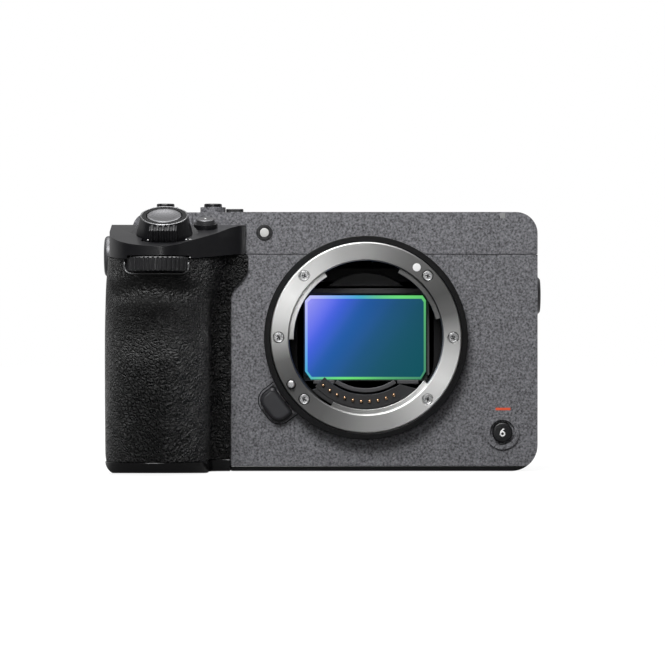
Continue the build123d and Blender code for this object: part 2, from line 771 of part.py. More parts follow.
def mount_screws():
    face = flange_y + 0.1
    screws = []
    for angle in screw_angles:
        head = lens_rod(screw_circle, angle, face, flange_y + 0.9, screw_head_radius)
        head = chamfer(head.edges().group_by(Axis.Y)[0], 0.15)
        shank = lens_rod(screw_circle, angle, flange_y + 0.9, inner_front + 2.0, screw_shank_radius)
        screws.append(head + shank - cross_recess(screw_circle, angle, face))
    return Compound(children=screws)


def mount_springs():
    springs = []
    for start, sweep in tab_arcs:
        springs.append(lens_sector(tab_radius + 0.5, throat_radius, start + 8, sweep - 16,
                                   flange_y + 2.7, flange_y + 3.0))
    return Compound(children=springs)


box_front = inner_front + 2.5
box_back = box_front + 3.3
shutter_back = box_back + 2.9
pocket_floor = box_front + 1.7
contact_angles = [contact_start + contact_step * k for k in range(contact_count)]
contact_face = flange_y + 3.0


def contact_block():
    sweep = (contact_count - 1) * contact_step + 2 * contact_end_angle
    block_arc = lens_sector(contact_circle - contact_half_width, contact_circle + contact_half_width,
                            contact_start - contact_end_angle, sweep, contact_face, pocket_floor)
    holes = lens_rods(contact_circle, contact_angles, contact_face - 1, contact_face + 2.5, contact_radius)
    return block_arc - holes


def contact_pins():
    pins = []
    for angle in contact_angles:
        pin = lens_rod(contact_circle, angle, contact_face - 0.7, contact_face + 2.5, contact_radius)
        pins.append(fillet(pin.edges().group_by(Axis.Y)[0], 0.3))
    return Compound(children=pins)


def lock_pin():
    pin = lens_rod(pin_circle, pin_angle, flange_y - pin_rise, inner_front + 0.6, pin_radius)
    return chamfer(pin.edges().group_by(Axis.Y)[0], 0.3)


def lens_release_button():
    tab = slotted_tab(0.0, body_front - 2.6, inner_front - 0.4)
    return chamfer(tab.edges().group_by(Axis.Y)[0], 0.5)


def gate(clear=0.0):
    half_x = gate_width / 2 + clear
    half_z = gate_height / 2 + clear
    return block(-half_x, half_x, -far, far, axis_height - half_z, axis_height + half_z)


def light_box():
    half_x = throat_radius + 2.95
    half_z = throat_radius - 2.05
    box = block(-half_x, half_x, box_front, box_back, axis_height - half_z, axis_height + half_z)
    return box - lens_disc(throat_radius - 0.3, -far, pocket_floor) - gate()


blade_height = gate_height / 2 + 0.6
blade_rest = axis_height - gate_height / 2 - blade_height - 0.4
blade_width = gate_width + 1.6


def shutter_frame():
    frame = block(-25, 25, box_back, shutter_back, blade_rest - 1.6, axis_height + gate_height / 2 + 3.0)
    slot_low = blade_rest - 0.2
    slot_high = axis_height + gate_height / 2 + 1.0
    half = blade_width / 2 + 0.3
    return frame - gate() - block(-half, half, box_back + 0.7, shutter_back - 0.7, slot_low, slot_high)


def shutter_blade(front):
    half = blade_width / 2
    return block(-half, half, front, front + 0.3, blade_rest, blade_rest + blade_height)


# The glass still covers the gate when the sensor has shifted as far as it goes.
glass_half_x = gate_width / 2 + shift_travel
glass_half_z = gate_height / 2 + shift_travel


def sensor_glass():
    return block(-glass_half_x, glass_half_x, sensor_y - 2.6, sensor_y - 1.2,
                 axis_height - glass_half_z, axis_height + glass_half_z)


def image_sensor():
    package_x = glass_half_x + 1.3
    package_z = glass_half_z + 1.3
    package = block(-package_x, package_x, sensor_y - 1.2, sensor_y + 1.5,
                    axis_height - package_z, axis_height + package_z)
    half_x = sensor_width / 2 + 0.2
    half_z = sensor_height / 2 + 0.2
    return package - block(-half_x, half_x, -far, sensor_y, axis_height - half_z, axis_height + half_z)


def sensor_carriage():
    plate = block(-24, 24, sensor_y + 1.5, sensor_y + 2.7, axis_height - 18, axis_height + 18)
    return plate - block(-12, 12, -far, far, axis_height - 8, axis_height + 8)


def stabiliser_frame():
    front = sensor_y + 3.1
    plate = block(-33, 33, front, front + 1.4, axis_height - 12.6, axis_height + 19)
    return plate - block(-14, 14, -far, far, axis_height - 9, axis_height + 10)


board_front = 2.5
board_low = 9.0
board_left = -34.0
board_high = cover_split - 3.1
board_right = inner_right - 1.3


def main_board():
    board = block(board_left, board_right, board_front, board_front + 1.6, board_low, board_high)
    for k in range(3):
        board += block(-26 + 20 * k, -12 + 20 * k, board_front + 1.6, board_front + 2.6, 24, 38)
    return board


def heat_sink():
    plate = block(board_left, board_right, board_front - 1.6, board_front, board_low, board_high)
    shroud_left = fan_x - fan_radius - 1.4
    shroud = block(shroud_left, board_right, -12.5, board_front - 1.0, 4.7, fan_z + fan_radius + 1.4)
    shroud -= rod_y(fan_x, fan_z, -far, -2.5, fan_radius + 0.6)
    for angle in range(0, 360, 60):
        x = fan_x + 6.0 * cos(radians(angle))
        z = fan_z + 6.0 * sin(radians(angle))
        shroud -= rod_y(x, z, -far, 0.5, 2.2)
    shroud -= block(inner_right - 4, far, -11, -3.5, fan_z - 8, fan_z + 8)
    shroud += rod_y(fan_x, fan_z, -11.5, -2.0, 1.0)
    return plate + shroud


def fan_rotor():
    rotor = rod_y(fan_x, fan_z, -11.0, -3.2, 3.2)
    blade = block(2.8, fan_radius, -0.35, 0.35, 0, 6.6)
    blade = Rot(28, 0, 0) * Pos(0, 0, -3.3) * blade
    for k in range(fan_blades):
        turned = Rot(0, 360 / fan_blades * k, 0) * blade
        rotor += Pos(fan_x, -7.1, fan_z) * turned
    rotor &= rod_y(fan_x, fan_z, -11.0, -3.2, fan_radius)
    return rotor - rod_y(fan_x, fan_z, -far, 0, 1.0 + running_gap)


def battery():
    right = battery_left + battery_width
    back = battery_front + battery_depth
    pack = block(battery_left, right, battery_front, back, battery_low, battery_low + battery_height)
    return chamfer(pack.edges().filter_by(Axis.Z), 0.8)


def battery_door_pin():
    return rod_x(door_pin_y, door_pin_z, door_left - 1.2, door_right + 1.2, door_pin_radius)


reader_left = body_left + card_door_thick + 2.0
card_middle = (card_door_low + card_door_high) / 2


def card_reader():
    reader = block(reader_left, panel_left - 0.5, reader_front, reader_back,
                   card_middle - card_slot_width / 2 - 4.5, card_middle + card_slot_width / 2 + 4.5)
    for y in (reader_front + 1.4, reader_front + 5.0):
        reader -= block(-far, reader_left + card_slot_depth, y, y + card_slot_thick,
                        card_middle - card_slot_width / 2, card_middle + card_slot_width / 2)
    return reader


def card_door():
    door = side_door(body_left, card_door_thick, card_door_front + port_gap, card_door_back - port_gap,
                     card_door_low + port_gap, card_door_high - port_gap, True)
    return door - block(-far, body_left + 0.5, card_door_back - 2.2, card_door_back - 1.0,
                        card_middle - 5, card_middle + 5)


def monitor_bracket():
    bracket = rod_z(hinge_x, hinge_y, hinge_low, hinge_high, hinge_pin_radius)
    for low in (hinge_low, hinge_high - knuckle_height):
        knuckle = rod_z(hinge_x, hinge_y, low, low + knuckle_height, hinge_radius)
        knuckle += block(hinge_x - 2.6, hinge_x + 2.6, body_back, hinge_y, low, low + knuckle_height)
        bracket += knuckle
    return bracket


def monitor_arm():
    low = hinge_low + knuckle_height + 0.3
    high = hinge_high - knuckle_height - 0.3
    middle = (hinge_low + hinge_high) / 2
    arm = rod_z(hinge_x, hinge_y, low, high, hinge_radius)
    arm += block(monitor_right + 0.2, hinge_x, hinge_y - 1.8, hinge_y + 1.8, middle - 9, middle + 9)
    arm += rod_x(hinge_y, middle, monitor_right - 8, monitor_right + 1, tilt_shaft_radius)
    return arm - rod_z(hinge_x, hinge_y, -far, far, hinge_pin_radius + running_gap)


def monitor_housing():
    housing = block(monitor_left, monitor_right, monitor_front, monitor_back, monitor_low, monitor_high)
    housing = fillet(housing.edges().filter_by(Axis.Y), 3.0)
    housing = chamfer(housing.faces().sort_by(Axis.Y)[0].edges(), 0.8)
    housing -= monitor_glass()
    middle = (hinge_low + hinge_high) / 2
    return housing - rod_x(hinge_y, middle, monitor_right - 8, monitor_right + 2, tilt_shaft_radius)


def monitor_glass():
    return block(monitor_left + glass_border, monitor_right - glass_border,
                 monitor_back - glass_thick, monitor_back,
                 monitor_low + glass_border, monitor_high - glass_border)


port_face = inner_right


def port_block():
    ports = block(port_face - port_block_depth, port_face, port_front - 0.4, port_back,
                  lower_port_low - 0.8, upper_port_high + 1)
    ports -= block(port_face - 11, far, -16.2, -11.6, upper_port_low + 1.0, upper_port_high - 1.0)
    ports -= block(port_face - 8, far, -8.6, -5.2, upper_port_low + 3.3, upper_port_high - 3.3)
    for z in (lower_port_low + 4, lower_port_high - 4):
        ports -= rod_x(-10, z, port_face - 11, far, 1.8)
    return ports


def port_cover(low, high):
    cover = side_door(body_right, port_cover_thick, port_front + port_gap, port_back - port_gap,
                      low + port_gap, high - port_gap, False)
    return cover - block(body_right - 0.6, far, port_front + 0.8, port_front + 4.5,
                         low + 0.4, low + 1.5)


def zoom_lever():
    body_cone = lever.location * Pos(0, 0, lever_lift + lever_height / 2) * Cone(
        lever_base_radius, lever_top_radius, lever_height)
    stem = rod_on(lever, -3.6, lever_lift + 0.1, 4.5)
    tab_front = lever_tab_reach - 0.9
    tab_low = lever_lift + 0.9
    tab_high = lever_lift + lever_height - 0.5
    tab = lever.location * block(-4.0, 4.0, -tab_front, -5.0, tab_low, tab_high)
    knob = body_cone + stem + tab
    for k in range(-2, 3):
        rib = Pos(1.6 * k, -tab_front, (tab_low + tab_high) / 2) * Cylinder(0.5, tab_high - tab_low)
        rib += Pos(1.6 * k, -tab_front, tab_high) * Sphere(0.5)
        middle = -(tab_front + 6.8) / 2
        rib += Pos(1.6 * k, middle, tab_high) * Rot(90, 0, 0) * Cylinder(0.5, tab_front - 6.8)
        knob += lever.location * rib
    recess = shutter_top - shutter_cap_thick - shutter_travel - 0.5
    knob -= rod_on(lever, recess, far, shutter_radius + 0.25)
    return knob - rod_on(lever, -9, far, 2.2 + running_gap)


def shutter_button():
    cap = rod_on(lever, shutter_top - shutter_cap_thick, shutter_top, shutter_radius)
    cap = fillet(cap.edges().filter_by(GeomType.CIRCLE).sort_by(Axis.Z)[-1], 0.5)
    cap -= lever.location * Pos(0, 0, shutter_top + 24.2) * Sphere(24.6)
    return cap + rod_on(lever, -3.2, shutter_top - shutter_cap_thick + 0.1, 2.2)


def record_button():
    cap = rod_on(record, -1.8, record_collar_rise + press_travel + 0.7, record_radius)
    cap = fillet(cap.edges().filter_by(GeomType.CIRCLE).sort_by(Axis.Z)[-1], 0.4)
    return cap + rod_on(record, -2.7, -2.0, record_radius + 0.7) + rod_on(record, -2.1, -1.7, record_radius)


def top_button(x):
    cap = rod_z(x, top_button_y, inner_top - 0.3, top_button_high, top_button_radius)
    cap = fillet(cap.edges().group_by(Axis.Z)[-1], 0.4)
    return cap + rod_z(x, top_button_y, inner_top - 0.9, inner_top - 0.3, top_button_radius + 0.8)


def power_switch():
    knob = block(switch_x - 2.6, switch_x + 2.6, switch_y - 2.5, switch_y + 2.5,
                 body_top + 0.1, body_top + 1.2)
    knob = fillet(knob.edges().filter_by(Axis.Z), 1.0)
    knob += block(switch_x - 0.75, switch_x + 0.75, switch_y - 1.0, switch_y + 1.0,
                  inner_top - 0.2, body_top + 0.2)
    return knob + block(switch_x - 1.8, switch_x + 1.8, switch_y - 2.0, switch_y + 2.0,
                        inner_top - 0.8, inner_top - 0.2)


def knurled_dial(x, y, low, height, radius):
    count = round(2 * pi * radius / knurl_pitch)
    dial = rod_z(x, y, low, low + height, radius)
    dial = chamfer(dial.edges().filter_by(GeomType.CIRCLE), 0.4)
    circle = radius + 0.12
    grooves = []
    for k in range(count):
        angle = 2 * pi * k / count
        groove_x = x + circle * cos(angle)
        groove_y = y + circle * sin(angle)
        grooves.append(rod_z(groove_x, groove_y, low - 1, low + height + 1, 0.42))
    dial -= grooves
    return dial - rod_z(x, y, low - 1, low + height + 1, dial_pin_radius + running_gap)


def front_button():
    cap_front = body_front - front_ring_rise - press_travel + 0.1
    cap = rod_y(front_button_x, front_button_z, cap_front, inner_front + 0.2, front_button_radius)
    cap = fillet(cap.edges().group_by(Axis.Y)[0], 0.4)
    foot = inner_front + 0.2
    return cap + rod_y(front_button_x, front_button_z, foot, foot + 0.6, front_recess_radius)


def control_wheel():
    wheel = rod_y(wheel_x, wheel_z, wheel_back - wheel_thick, wheel_back, wheel_radius)
    wheel = chamfer(wheel.edges().group_by(Axis.Y)[-1], 0.5)
    inner = wheel_button_radius + 0.7 + running_gap
    return wheel - rod_y(wheel_x, wheel_z, -far, far, inner)


def wheel_button():
    cap = rod_y(wheel_x, wheel_z, wheel_seat, wheel_back + 0.6, wheel_button_radius)
    return fillet(cap.edges().group_by(Axis.Y)[-1], 0.5)


def joystick_gimbal():
    ring = rod_y(stick_x, stick_z, stick_pivot - 0.8, stick_pivot + 0.8, 5.2)
    ring -= rod_y(stick_x, stick_z, -far, far, 3.4)
    for side in (-1, 1):
        near, end = sorted((stick_x + side * 4.6, stick_x + side * 7.0))
        ring += rod_x(stick_pivot, stick_z, near, end, 0.6)
    return ring - rod_z(stick_x, stick_pivot, stick_z - 6, stick_z + 6, 0.5 + running_gap)


def joystick():
    stick = Pos(stick_x, stick_pivot, stick_z) * Sphere(2.2)
    stick += rod_y(stick_x, stick_z, stick_pivot, 23.2, 1.2)
    cap = rod_y(stick_x, stick_z, 23.0, 25.0, 3.5)
    cap = fillet(cap.edges().group_by(Axis.Y)[-1], 0.8)
    stick += cap
    return stick + rod_z(stick_x, stick_pivot, stick_z - 4.8, stick_z + 4.8, 0.5)


def menu_button():
    cap = rod_y(menu_x, menu_z, 19.9, 23.2, menu_radius)
    cap = fillet(cap.edges().group_by(Axis.Y)[-1], 0.4)
    return cap + rod_y(menu_x, menu_z, 19.3, 19.9, menu_radius + 0.8)


def af_lamp():
    lamp = rod_y(af_x, af_z, body_front - 0.25, inner_front + 1.5, af_radius)
    return lamp - rod_y(af_x, af_z, -far, body_front + 0.1, 1.5)


def tally_lamp():
    half = tally_side / 2
    return block(tally_x - half, tally_x + half, body_front - 0.1, inner_front,
                 tally_z - half, tally_z + half)


pieces = {
    "front_cover": front_cover(),
    "top_cover": top_cover(),
    "rear_cover": rear_cover(),
    "bottom_plate": bottom_plate(),
    "grip_shell": grip_shell(),
    "grip_skin": grip_skin(),
    "grip_top_cover": grip_top_cover(),
    "grip_base": grip_base(),
    "chassis": chassis(),
    "tripod_socket": tripod_socket(),
    "thread_inserts": thread_inserts(),
    "accessory_shoe": accessory_shoe(),
    "mount_collar": mount_collar(),
    "mount_ring": mount_ring(),
    "mount_screws": mount_screws(),
    "mount_springs": mount_springs(),
    "contact_block": contact_block(),
    "contact_pins": contact_pins(),
    "lock_pin": lock_pin(),
    "lens_release_button": lens_release_button(),
    "light_box": light_box(),
    "shutter_frame": shutter_frame(),
    "shutter_blade_upper": shutter_blade(box_back + 0.95),
    "shutter_blade_lower": shutter_blade(box_back + 1.6),
    "image_sensor": image_sensor(),
    "sensor_glass": sensor_glass(),
    "sensor_carriage": sensor_carriage(),
    "stabiliser_frame": stabiliser_frame(),
    "main_board": main_board(),
    "heat_sink": heat_sink(),
    "fan_rotor": fan_rotor(),
    "battery": battery(),
    "battery_door": battery_door(),
    "battery_door_pin": battery_door_pin(),
    "battery_latch": battery_latch(),
    "card_reader": card_reader(),
    "card_door": card_door(),
    "monitor_bracket": monitor_bracket(),
    "monitor_arm": monitor_arm(),
    "monitor_housing": monitor_housing(),
    "monitor_glass": monitor_glass(),
    "port_block": port_block(),
    "port_cover_upper": port_cover(upper_port_low, upper_port_high),
    "port_cover_lower": port_cover(lower_port_low, lower_port_high),
    "zoom_lever": zoom_lever(),
    "shutter_button": shutter_button(),
    "record_button": record_button(),
    "top_button_left": top_button(top_button_xs[0]),
    "top_button_right": top_button(top_button_xs[1]),
    "power_switch": power_switch(),
    "front_dial": knurled_dial(front_dial_x, front_dial_y, front_dial_low, front_dial_height,
                               front_dial_radius),
    "front_button": front_button(),
    "rear_dial": knurled_dial(rear_dial_x, rear_dial_y, rear_dial_low, rear_dial_height,
                              rear_dial_radius),
    "control_wheel": control_wheel(),
    "wheel_button": wheel_button(),
    "joystick": joystick(),
    "joystick_gimbal": joystick_gimbal(),
    "menu_button": menu_button(),
    "af_lamp": af_lamp(),
    "tally_lamp": tally_lamp(),
}

for name, shape in pieces.items():
    export_step(shape, "parts/" + name + ".step")
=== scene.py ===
import json
from math import cos, pi, radians, sin, tan

import bmesh
import bpy
import numpy as np
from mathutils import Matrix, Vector
from mathutils.bvhtree import BVHTree


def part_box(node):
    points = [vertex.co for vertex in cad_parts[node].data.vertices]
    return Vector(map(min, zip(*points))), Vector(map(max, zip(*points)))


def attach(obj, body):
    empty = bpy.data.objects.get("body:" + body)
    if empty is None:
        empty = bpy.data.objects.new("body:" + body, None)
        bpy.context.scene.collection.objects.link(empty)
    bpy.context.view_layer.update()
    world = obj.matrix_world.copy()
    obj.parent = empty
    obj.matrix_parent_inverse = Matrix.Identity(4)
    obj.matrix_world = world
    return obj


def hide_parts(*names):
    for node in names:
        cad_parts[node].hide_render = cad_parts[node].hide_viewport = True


# A cinema camera body with its handgrip, with no lens on its mount.
# The sections follow the camera as it is put together, from the inner frame to the outer controls.
# Sizes are in millimetres unless a name says otherwise, and meshes are made in metres.
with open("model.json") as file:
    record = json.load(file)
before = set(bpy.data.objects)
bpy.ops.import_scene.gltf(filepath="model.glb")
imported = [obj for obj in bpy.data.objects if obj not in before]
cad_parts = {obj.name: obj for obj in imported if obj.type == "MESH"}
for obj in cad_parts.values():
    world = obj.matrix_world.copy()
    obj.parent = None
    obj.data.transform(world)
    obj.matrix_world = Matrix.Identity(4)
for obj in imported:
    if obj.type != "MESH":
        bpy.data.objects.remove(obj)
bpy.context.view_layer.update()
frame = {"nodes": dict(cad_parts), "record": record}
mm = 0.001

# Inner frame and sensor stage frames.
# The inner frame is a die casting and the stage's two frames are milled plates, all of bare aluminium.
# The helpers that finish every piece come first.
body_of = {n: b for b, nodes in frame["record"]["behaviour"]["bodies"].items() for n in nodes}
slot_of = {part["node"]: part["material_slot"] for part in frame["record"]["subparts"]}


def feed(tree, socket, value):
    """Gives an input a value, or links another node's output to it."""
    if isinstance(value, bpy.types.NodeSocket):
        tree.links.new(value, socket)
    else:
        socket.default_value = value


def add_node(tree, kind, **values):
    """A new node with some of its inputs fed; names of inputs are written with underscores."""
    node = tree.nodes.new("ShaderNode" + kind)
    for name, value in values.items():
        feed(tree, node.inputs[name.replace("_", " ")], value)
    return node


def math_node(tree, operation, *values):
    """The output of a math node fed by numbers or by other nodes' outputs."""
    node = tree.nodes.new("ShaderNodeMath")
    node.operation = operation
    for socket, value in zip(node.inputs, values):
        feed(tree, socket, value)
    return node.outputs[0]


def vector_node(tree, operation, *values, scale=None):
    """The output of a vector math node: a number for a dot product or a length, else a vector."""
    node = tree.nodes.new("ShaderNodeVectorMath")
    node.operation = operation
    for socket, value in zip(node.inputs, values):
        feed(tree, socket, value)
    if scale is not None:
        feed(tree, node.inputs["Scale"], scale)
    return node.outputs["Value" if operation in ("DOT_PRODUCT", "LENGTH") else "Vector"]


def effect_group(name, inputs, outputs):
    """An empty shader node group with named sockets, and its first and last nodes."""
    group = bpy.data.node_groups.new(name, "ShaderNodeTree")
    for socket, kind, value in inputs:
        made = group.interface.new_socket(socket, in_out="INPUT", socket_type="NodeSocket" + kind)
        made.default_value = value
    for socket, kind in outputs:
        group.interface.new_socket(socket, in_out="OUTPUT", socket_type="NodeSocket" + kind)
    return group, group.nodes.new("NodeGroupInput"), group.nodes.new("NodeGroupOutput")


def make_grain_group():
    """Fine grain of paint, blasted metal or moulded plastic: colour, gloss and relief vary together."""
    group, start, end = effect_group(
        "surface_grain",
        [("Color", "Color", (0.1, 0.1, 0.1, 1)), ("Contrast", "Float", 0.2), ("Grain", "Float", 0.4),
         ("Roughness", "Float", 0.5), ("Unevenness", "Float", 0.08), ("Relief", "Float", 0.02)],
        [("Color", "Color"), ("Roughness", "Float"), ("Normal", "Vector")])
    place = group.nodes.new("ShaderNodeTexCoord").outputs["Object"]
    per_metre = math_node(group, "DIVIDE", 1 / mm, start.outputs["Grain"])
    fine = add_node(group, "TexNoise", Vector=place, Scale=per_metre, Detail=2.5, Roughness=0.62).outputs[0]
    broad = add_node(group, "TexNoise", Vector=place, Scale=75.0, Detail=3.0, Roughness=0.55).outputs[0]
    contrast = math_node(group, "MULTIPLY", start.outputs["Contrast"], 4.0)
    swing = math_node(group, "MULTIPLY", math_node(group, "SUBTRACT", fine, 0.5), contrast)
    level = math_node(group, "MAXIMUM", math_node(group, "ADD", swing, 1.0), 0.1)
    spread = math_node(group, "MULTIPLY", math_node(group, "SUBTRACT", broad, 0.5), 2.0)
    rough = math_node(group, "MULTIPLY_ADD", spread, start.outputs["Unevenness"], start.outputs["Roughness"])
    depth = math_node(group, "MULTIPLY", start.outputs["Relief"], mm)
    bump = add_node(group, "Bump", Distance=depth, Height=fine)
    feed(group, end.inputs["Color"], vector_node(group, "SCALE", start.outputs["Color"], scale=level))
    feed(group, end.inputs["Roughness"], rough)
    feed(group, end.inputs["Normal"], bump.outputs[0])
    return group


grain_group = make_grain_group()


def new_material(name):
    """A material, its node tree and its shader."""
    finish = bpy.data.materials.new(name)
    finish.use_nodes = True
    return finish, finish.node_tree, finish.node_tree.nodes["Principled BSDF"]


def grained(name, color, roughness, metallic=0.0, contrast=0.12, grain=0.3, unevenness=0.06, relief=0.01,
            coat=0.0, specular=0.5):
    """A material with the shared grain: colour, gloss and relief of one finish of this camera."""
    finish, tree, shader = new_material(name)
    constants = {"Metallic": metallic, "Coat Weight": coat, "Coat Roughness": 0.12,
                 "Specular IOR Level": specular}
    for socket, value in constants.items():
        shader.inputs[socket].default_value = value
    effect = tree.nodes.new("ShaderNodeGroup")
    effect.node_tree = grain_group
    settings = {"Color": (*color, 1), "Contrast": contrast, "Grain": grain, "Roughness": roughness,
                "Unevenness": unevenness, "Relief": relief}
    for socket, value in settings.items():
        effect.inputs[socket].default_value = value
    for source, target in (("Color", "Base Color"), ("Roughness", "Roughness"), ("Normal", "Normal")):
        tree.links.new(effect.outputs[source], shader.inputs[target])
    return finish


def smooth_by_angle(mesh, degrees=28):
    """Shades a mesh smooth, and leaves its edges sharp where they turn by more than an angle."""
    mesh.shade_smooth()
    mesh.set_sharp_from_angle(angle=radians(degrees))


def placed(name, data):
    """A new object in the scene."""
    thing = bpy.data.objects.new(name, data)
    bpy.context.scene.collection.objects.link(thing)
    return thing


def mesh_of(name, work):
    """The mesh that a finished work mesh makes."""
    mesh = bpy.data.meshes.new(name)
    work.to_mesh(mesh)
    work.free()
    return mesh


def form_of(*meshes):
    """A form to search for near places and hits, made of the faces of some meshes."""
    work = bmesh.new()
    for mesh in meshes:
        work.from_mesh(mesh)
    form = BVHTree.FromBMesh(work)
    work.free()
    return form


def settle(name, mesh, finish, body, slot, *nodes):
    """Makes a finished piece of a mesh: its material, the body it rides on and the nodes it stands for."""
    piece = placed(name, mesh)
    mesh.materials.clear()
    mesh.materials.append(finish)
    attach(piece, body)
    if nodes:
        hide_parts(*nodes)
    return piece


def applied(mesh, add_modifiers):
    """The mesh that the modifiers make of a mesh."""
    holder = placed("holder", mesh)
    add_modifiers(holder)
    shapes = bpy.context.evaluated_depsgraph_get()
    result = bpy.data.meshes.new_from_object(holder.evaluated_get(shapes), preserve_all_data_layers=True,
                                             depsgraph=shapes)
    bpy.data.objects.remove(holder)
    return result


def follows(form, mesh, limit):
    """Whether the middles of a mesh's triangles and of their sides all lie close to a form."""
    mesh.calc_loop_triangles()
    for triangle in mesh.loop_triangles:
        a, b, c = (mesh.vertices[k].co for k in triangle.vertices)
        for place in ((a + b + c) / 3, (a + b) / 2, (b + c) / 2, (c + a) / 2):
            if form.find_nearest(place)[3] > limit:
                return False
    return True


def broken_edges(mesh, radius, segments=2, degrees=30):
    """The mesh with its sharp edges rounded to a small radius, as tools and moulds leave them.

    The rounding is tried on merged flat faces and on the plain mesh, freely and held to the space that
    the corners leave. The first result that keeps to the form is taken.
    """
    if "custom_normal" in mesh.attributes:
        mesh.attributes.remove(mesh.attributes["custom_normal"])
    weld_gap, flat_angle = 0.002 * mm, radians(0.7)
    off_form, off_mesh = 0.6 * radius * mm, 1.1 * radius * mm
    work = bmesh.new()
    work.from_mesh(mesh)
    bmesh.ops.remove_doubles(work, verts=work.verts, dist=weld_gap)
    plain = bpy.data.meshes.new("plain")
    work.to_mesh(plain)
    bmesh.ops.dissolve_limit(work, angle_limit=flat_angle, verts=work.verts, edges=work.edges)
    merged = mesh_of("merged", work)
    form = form_of(plain)
    for base, clamped in ((merged, False), (merged, True), (plain, False), (plain, True)):
        smooth_by_angle(base, degrees)

        def rounding(holder):
            bevel = holder.modifiers.new("rounding", "BEVEL")
            bevel.width = radius * mm
            bevel.segments = segments
            bevel.limit_method = "ANGLE"
            bevel.angle_limit = radians(degrees)
            bevel.use_clamp_overlap = clamped
            bevel.harden_normals = True

        rounded = applied(base, rounding)
        if follows(form, rounded, off_form) and follows(form_of(rounded), plain, off_mesh):
            return rounded
    return plain


def rounded_node(node, finish, radius=0.12, segments=2, degrees=30):
    """A CAD node's shape with its sharp edges rounded off, in its finish."""
    mesh = broken_edges(frame["nodes"][node].data.copy(), radius, segments, degrees)
    return settle(node + "_finished", mesh, finish, body_of[node], slot_of[node], node)


cast_metal = grained("cast_metal", (0.36, 0.36, 0.37), 0.42, metallic=0.9, contrast=0.08, grain=0.5,
                     relief=0.02)
rounded_node("chassis", cast_metal, 0.2)
rounded_node("sensor_carriage", cast_metal, 0.15)
rounded_node("stabiliser_frame", cast_metal, 0.15)

# Circuit board, heat sink and fan.
# The board and its flat chips are one green piece; the heat sink is black anodised aluminium.
# The fan is moulded in black plastic and turns on a stub of the heat sink's shroud.
board_green = grained("board_green", (0.02, 0.10, 0.055), 0.35, contrast=0.25, grain=1.2, relief=0.03,
                      coat=0.3)
black_anodised = grained("black_anodised", (0.016, 0.016, 0.018), 0.45, metallic=0.6, contrast=0.1,
                         grain=0.25)
moulded_black = grained("moulded_black", (0.007, 0.007, 0.008), 0.42, contrast=0.1, grain=0.22, relief=0.012)
rounded_node("main_board", board_green, 0.1)
rounded_node("heat_sink", black_anodised, 0.15)
rounded_node("fan_rotor", moulded_black, 0.1)

# Shutter.
# A black anodised frame holds two thin black blades that rest below the picture gate.
# The blades are stamped sheet, matt black on both faces.
blade_black = grained("blade_black", (0.02, 0.02, 0.021), 0.55, metallic=0.3, contrast=0.08, grain=0.2)
rounded_node("shutter_frame", black_anodised, 0.15)
rounded_node("shutter_blade_upper", blade_black, 0.05)
rounded_node("shutter_blade_lower", blade_black, 0.05)

# Image sensor.
# A black ceramic package holds the chip behind a filter glass with ground, bevelled edges.
# Thin coatings make the glass reflect violet at one corner, then blue, then teal at the other; these colours
# are painted in as a glow of the glass and its bevels.
lens_axis = 40.1
glass_low, glass_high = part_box("sensor_glass")
picture_half = (18.35, 12.75)
corner_cuts = ((1.5, 1.6), (1.0, 1.5), (1.5, 2.5), (1.8, 2.5))
cut_share = 0.7
rim_left, rim_right, rim_top, rim_bottom, rim_depth = 0.77, 0.66, 1.0, 0.77, 0.35
painted_coating_colors = ((0.0, (0.38, 0.36, 1.0)), (0.07, (0.27, 0.28, 0.94)), (0.2, (0.095, 0.15, 0.82)),
                  (0.33, (0.027, 0.11, 0.45)), (0.5, (0.0165, 0.093, 0.255)), (0.67, (0.011, 0.086, 0.15)),
                  (1.0, (0.0045, 0.082, 0.105)))
painted_rim_colors = ((0.0, (0.60, 0.58, 1.0)), (0.13, (0.34, 0.48, 0.95)), (0.28, (0.10, 0.42, 0.74)),
              (0.4, (0.12, 0.55, 0.34)), (0.55, (0.15, 0.72, 0.20)), (0.75, (0.10, 0.44, 0.17)),
              (1.0, (0.06, 0.26, 0.15)))


def ramp_node(tree, source, stops, interpolation="LINEAR"):
    """The colour of a ramp along another node's output; each stop is a position and a colour."""
    ramp = tree.nodes.new("ShaderNodeValToRGB")
    tree.links.new(source, ramp.inputs[0])
    ramp.color_ramp.interpolation = interpolation
    while len(ramp.color_ramp.elements) < len(stops):
        ramp.color_ramp.elements.new(0.5)
    for element, (position, color) in zip(ramp.color_ramp.elements, stops):
        element.position = position
        element.color = (*color, 1)
    return ramp.outputs[0]


def coating_material(name, colors, start, end, painted_glow, roughness):
    """A coated glass face whose colour runs from one corner to the other, with its coloured reflection
    painted in as a glow of its own.
    """
    finish, tree, shader = new_material(name)
    place = tree.nodes.new("ShaderNodeTexCoord").outputs["Object"]
    run = Vector(end) - Vector(start)
    along = vector_node(tree, "DOT_PRODUCT", vector_node(tree, "SUBTRACT", place, start),
                        run / run.length_squared)
    color = ramp_node(tree, along, colors, "CARDINAL")
    feed(tree, shader.inputs["Base Color"], vector_node(tree, "SCALE", color, scale=0.12))
    # Painted reflection: the glass glows in its coating's colours, though it is no lamp.
    feed(tree, shader.inputs["Emission Color"], color)
    shader.inputs["Emission Strength"].default_value = painted_glow
    shader.inputs["Roughness"].default_value = roughness
    shader.inputs["Specular IOR Level"].default_value = 0.25
    return finish


def cut_rectangle(left, right, low, high, cuts):
    """A rectangle with its corners cut off, from the upper left one round by the right to the lower left."""
    (ax, az), (bx, bz), (cx, cz), (dx, dz) = cuts
    return [(left, high - az), (left + ax, high), (right - bx, high), (right, high - bz),
            (right, low + cz), (right - cx, low), (left + dx, low), (left, low + dz)]


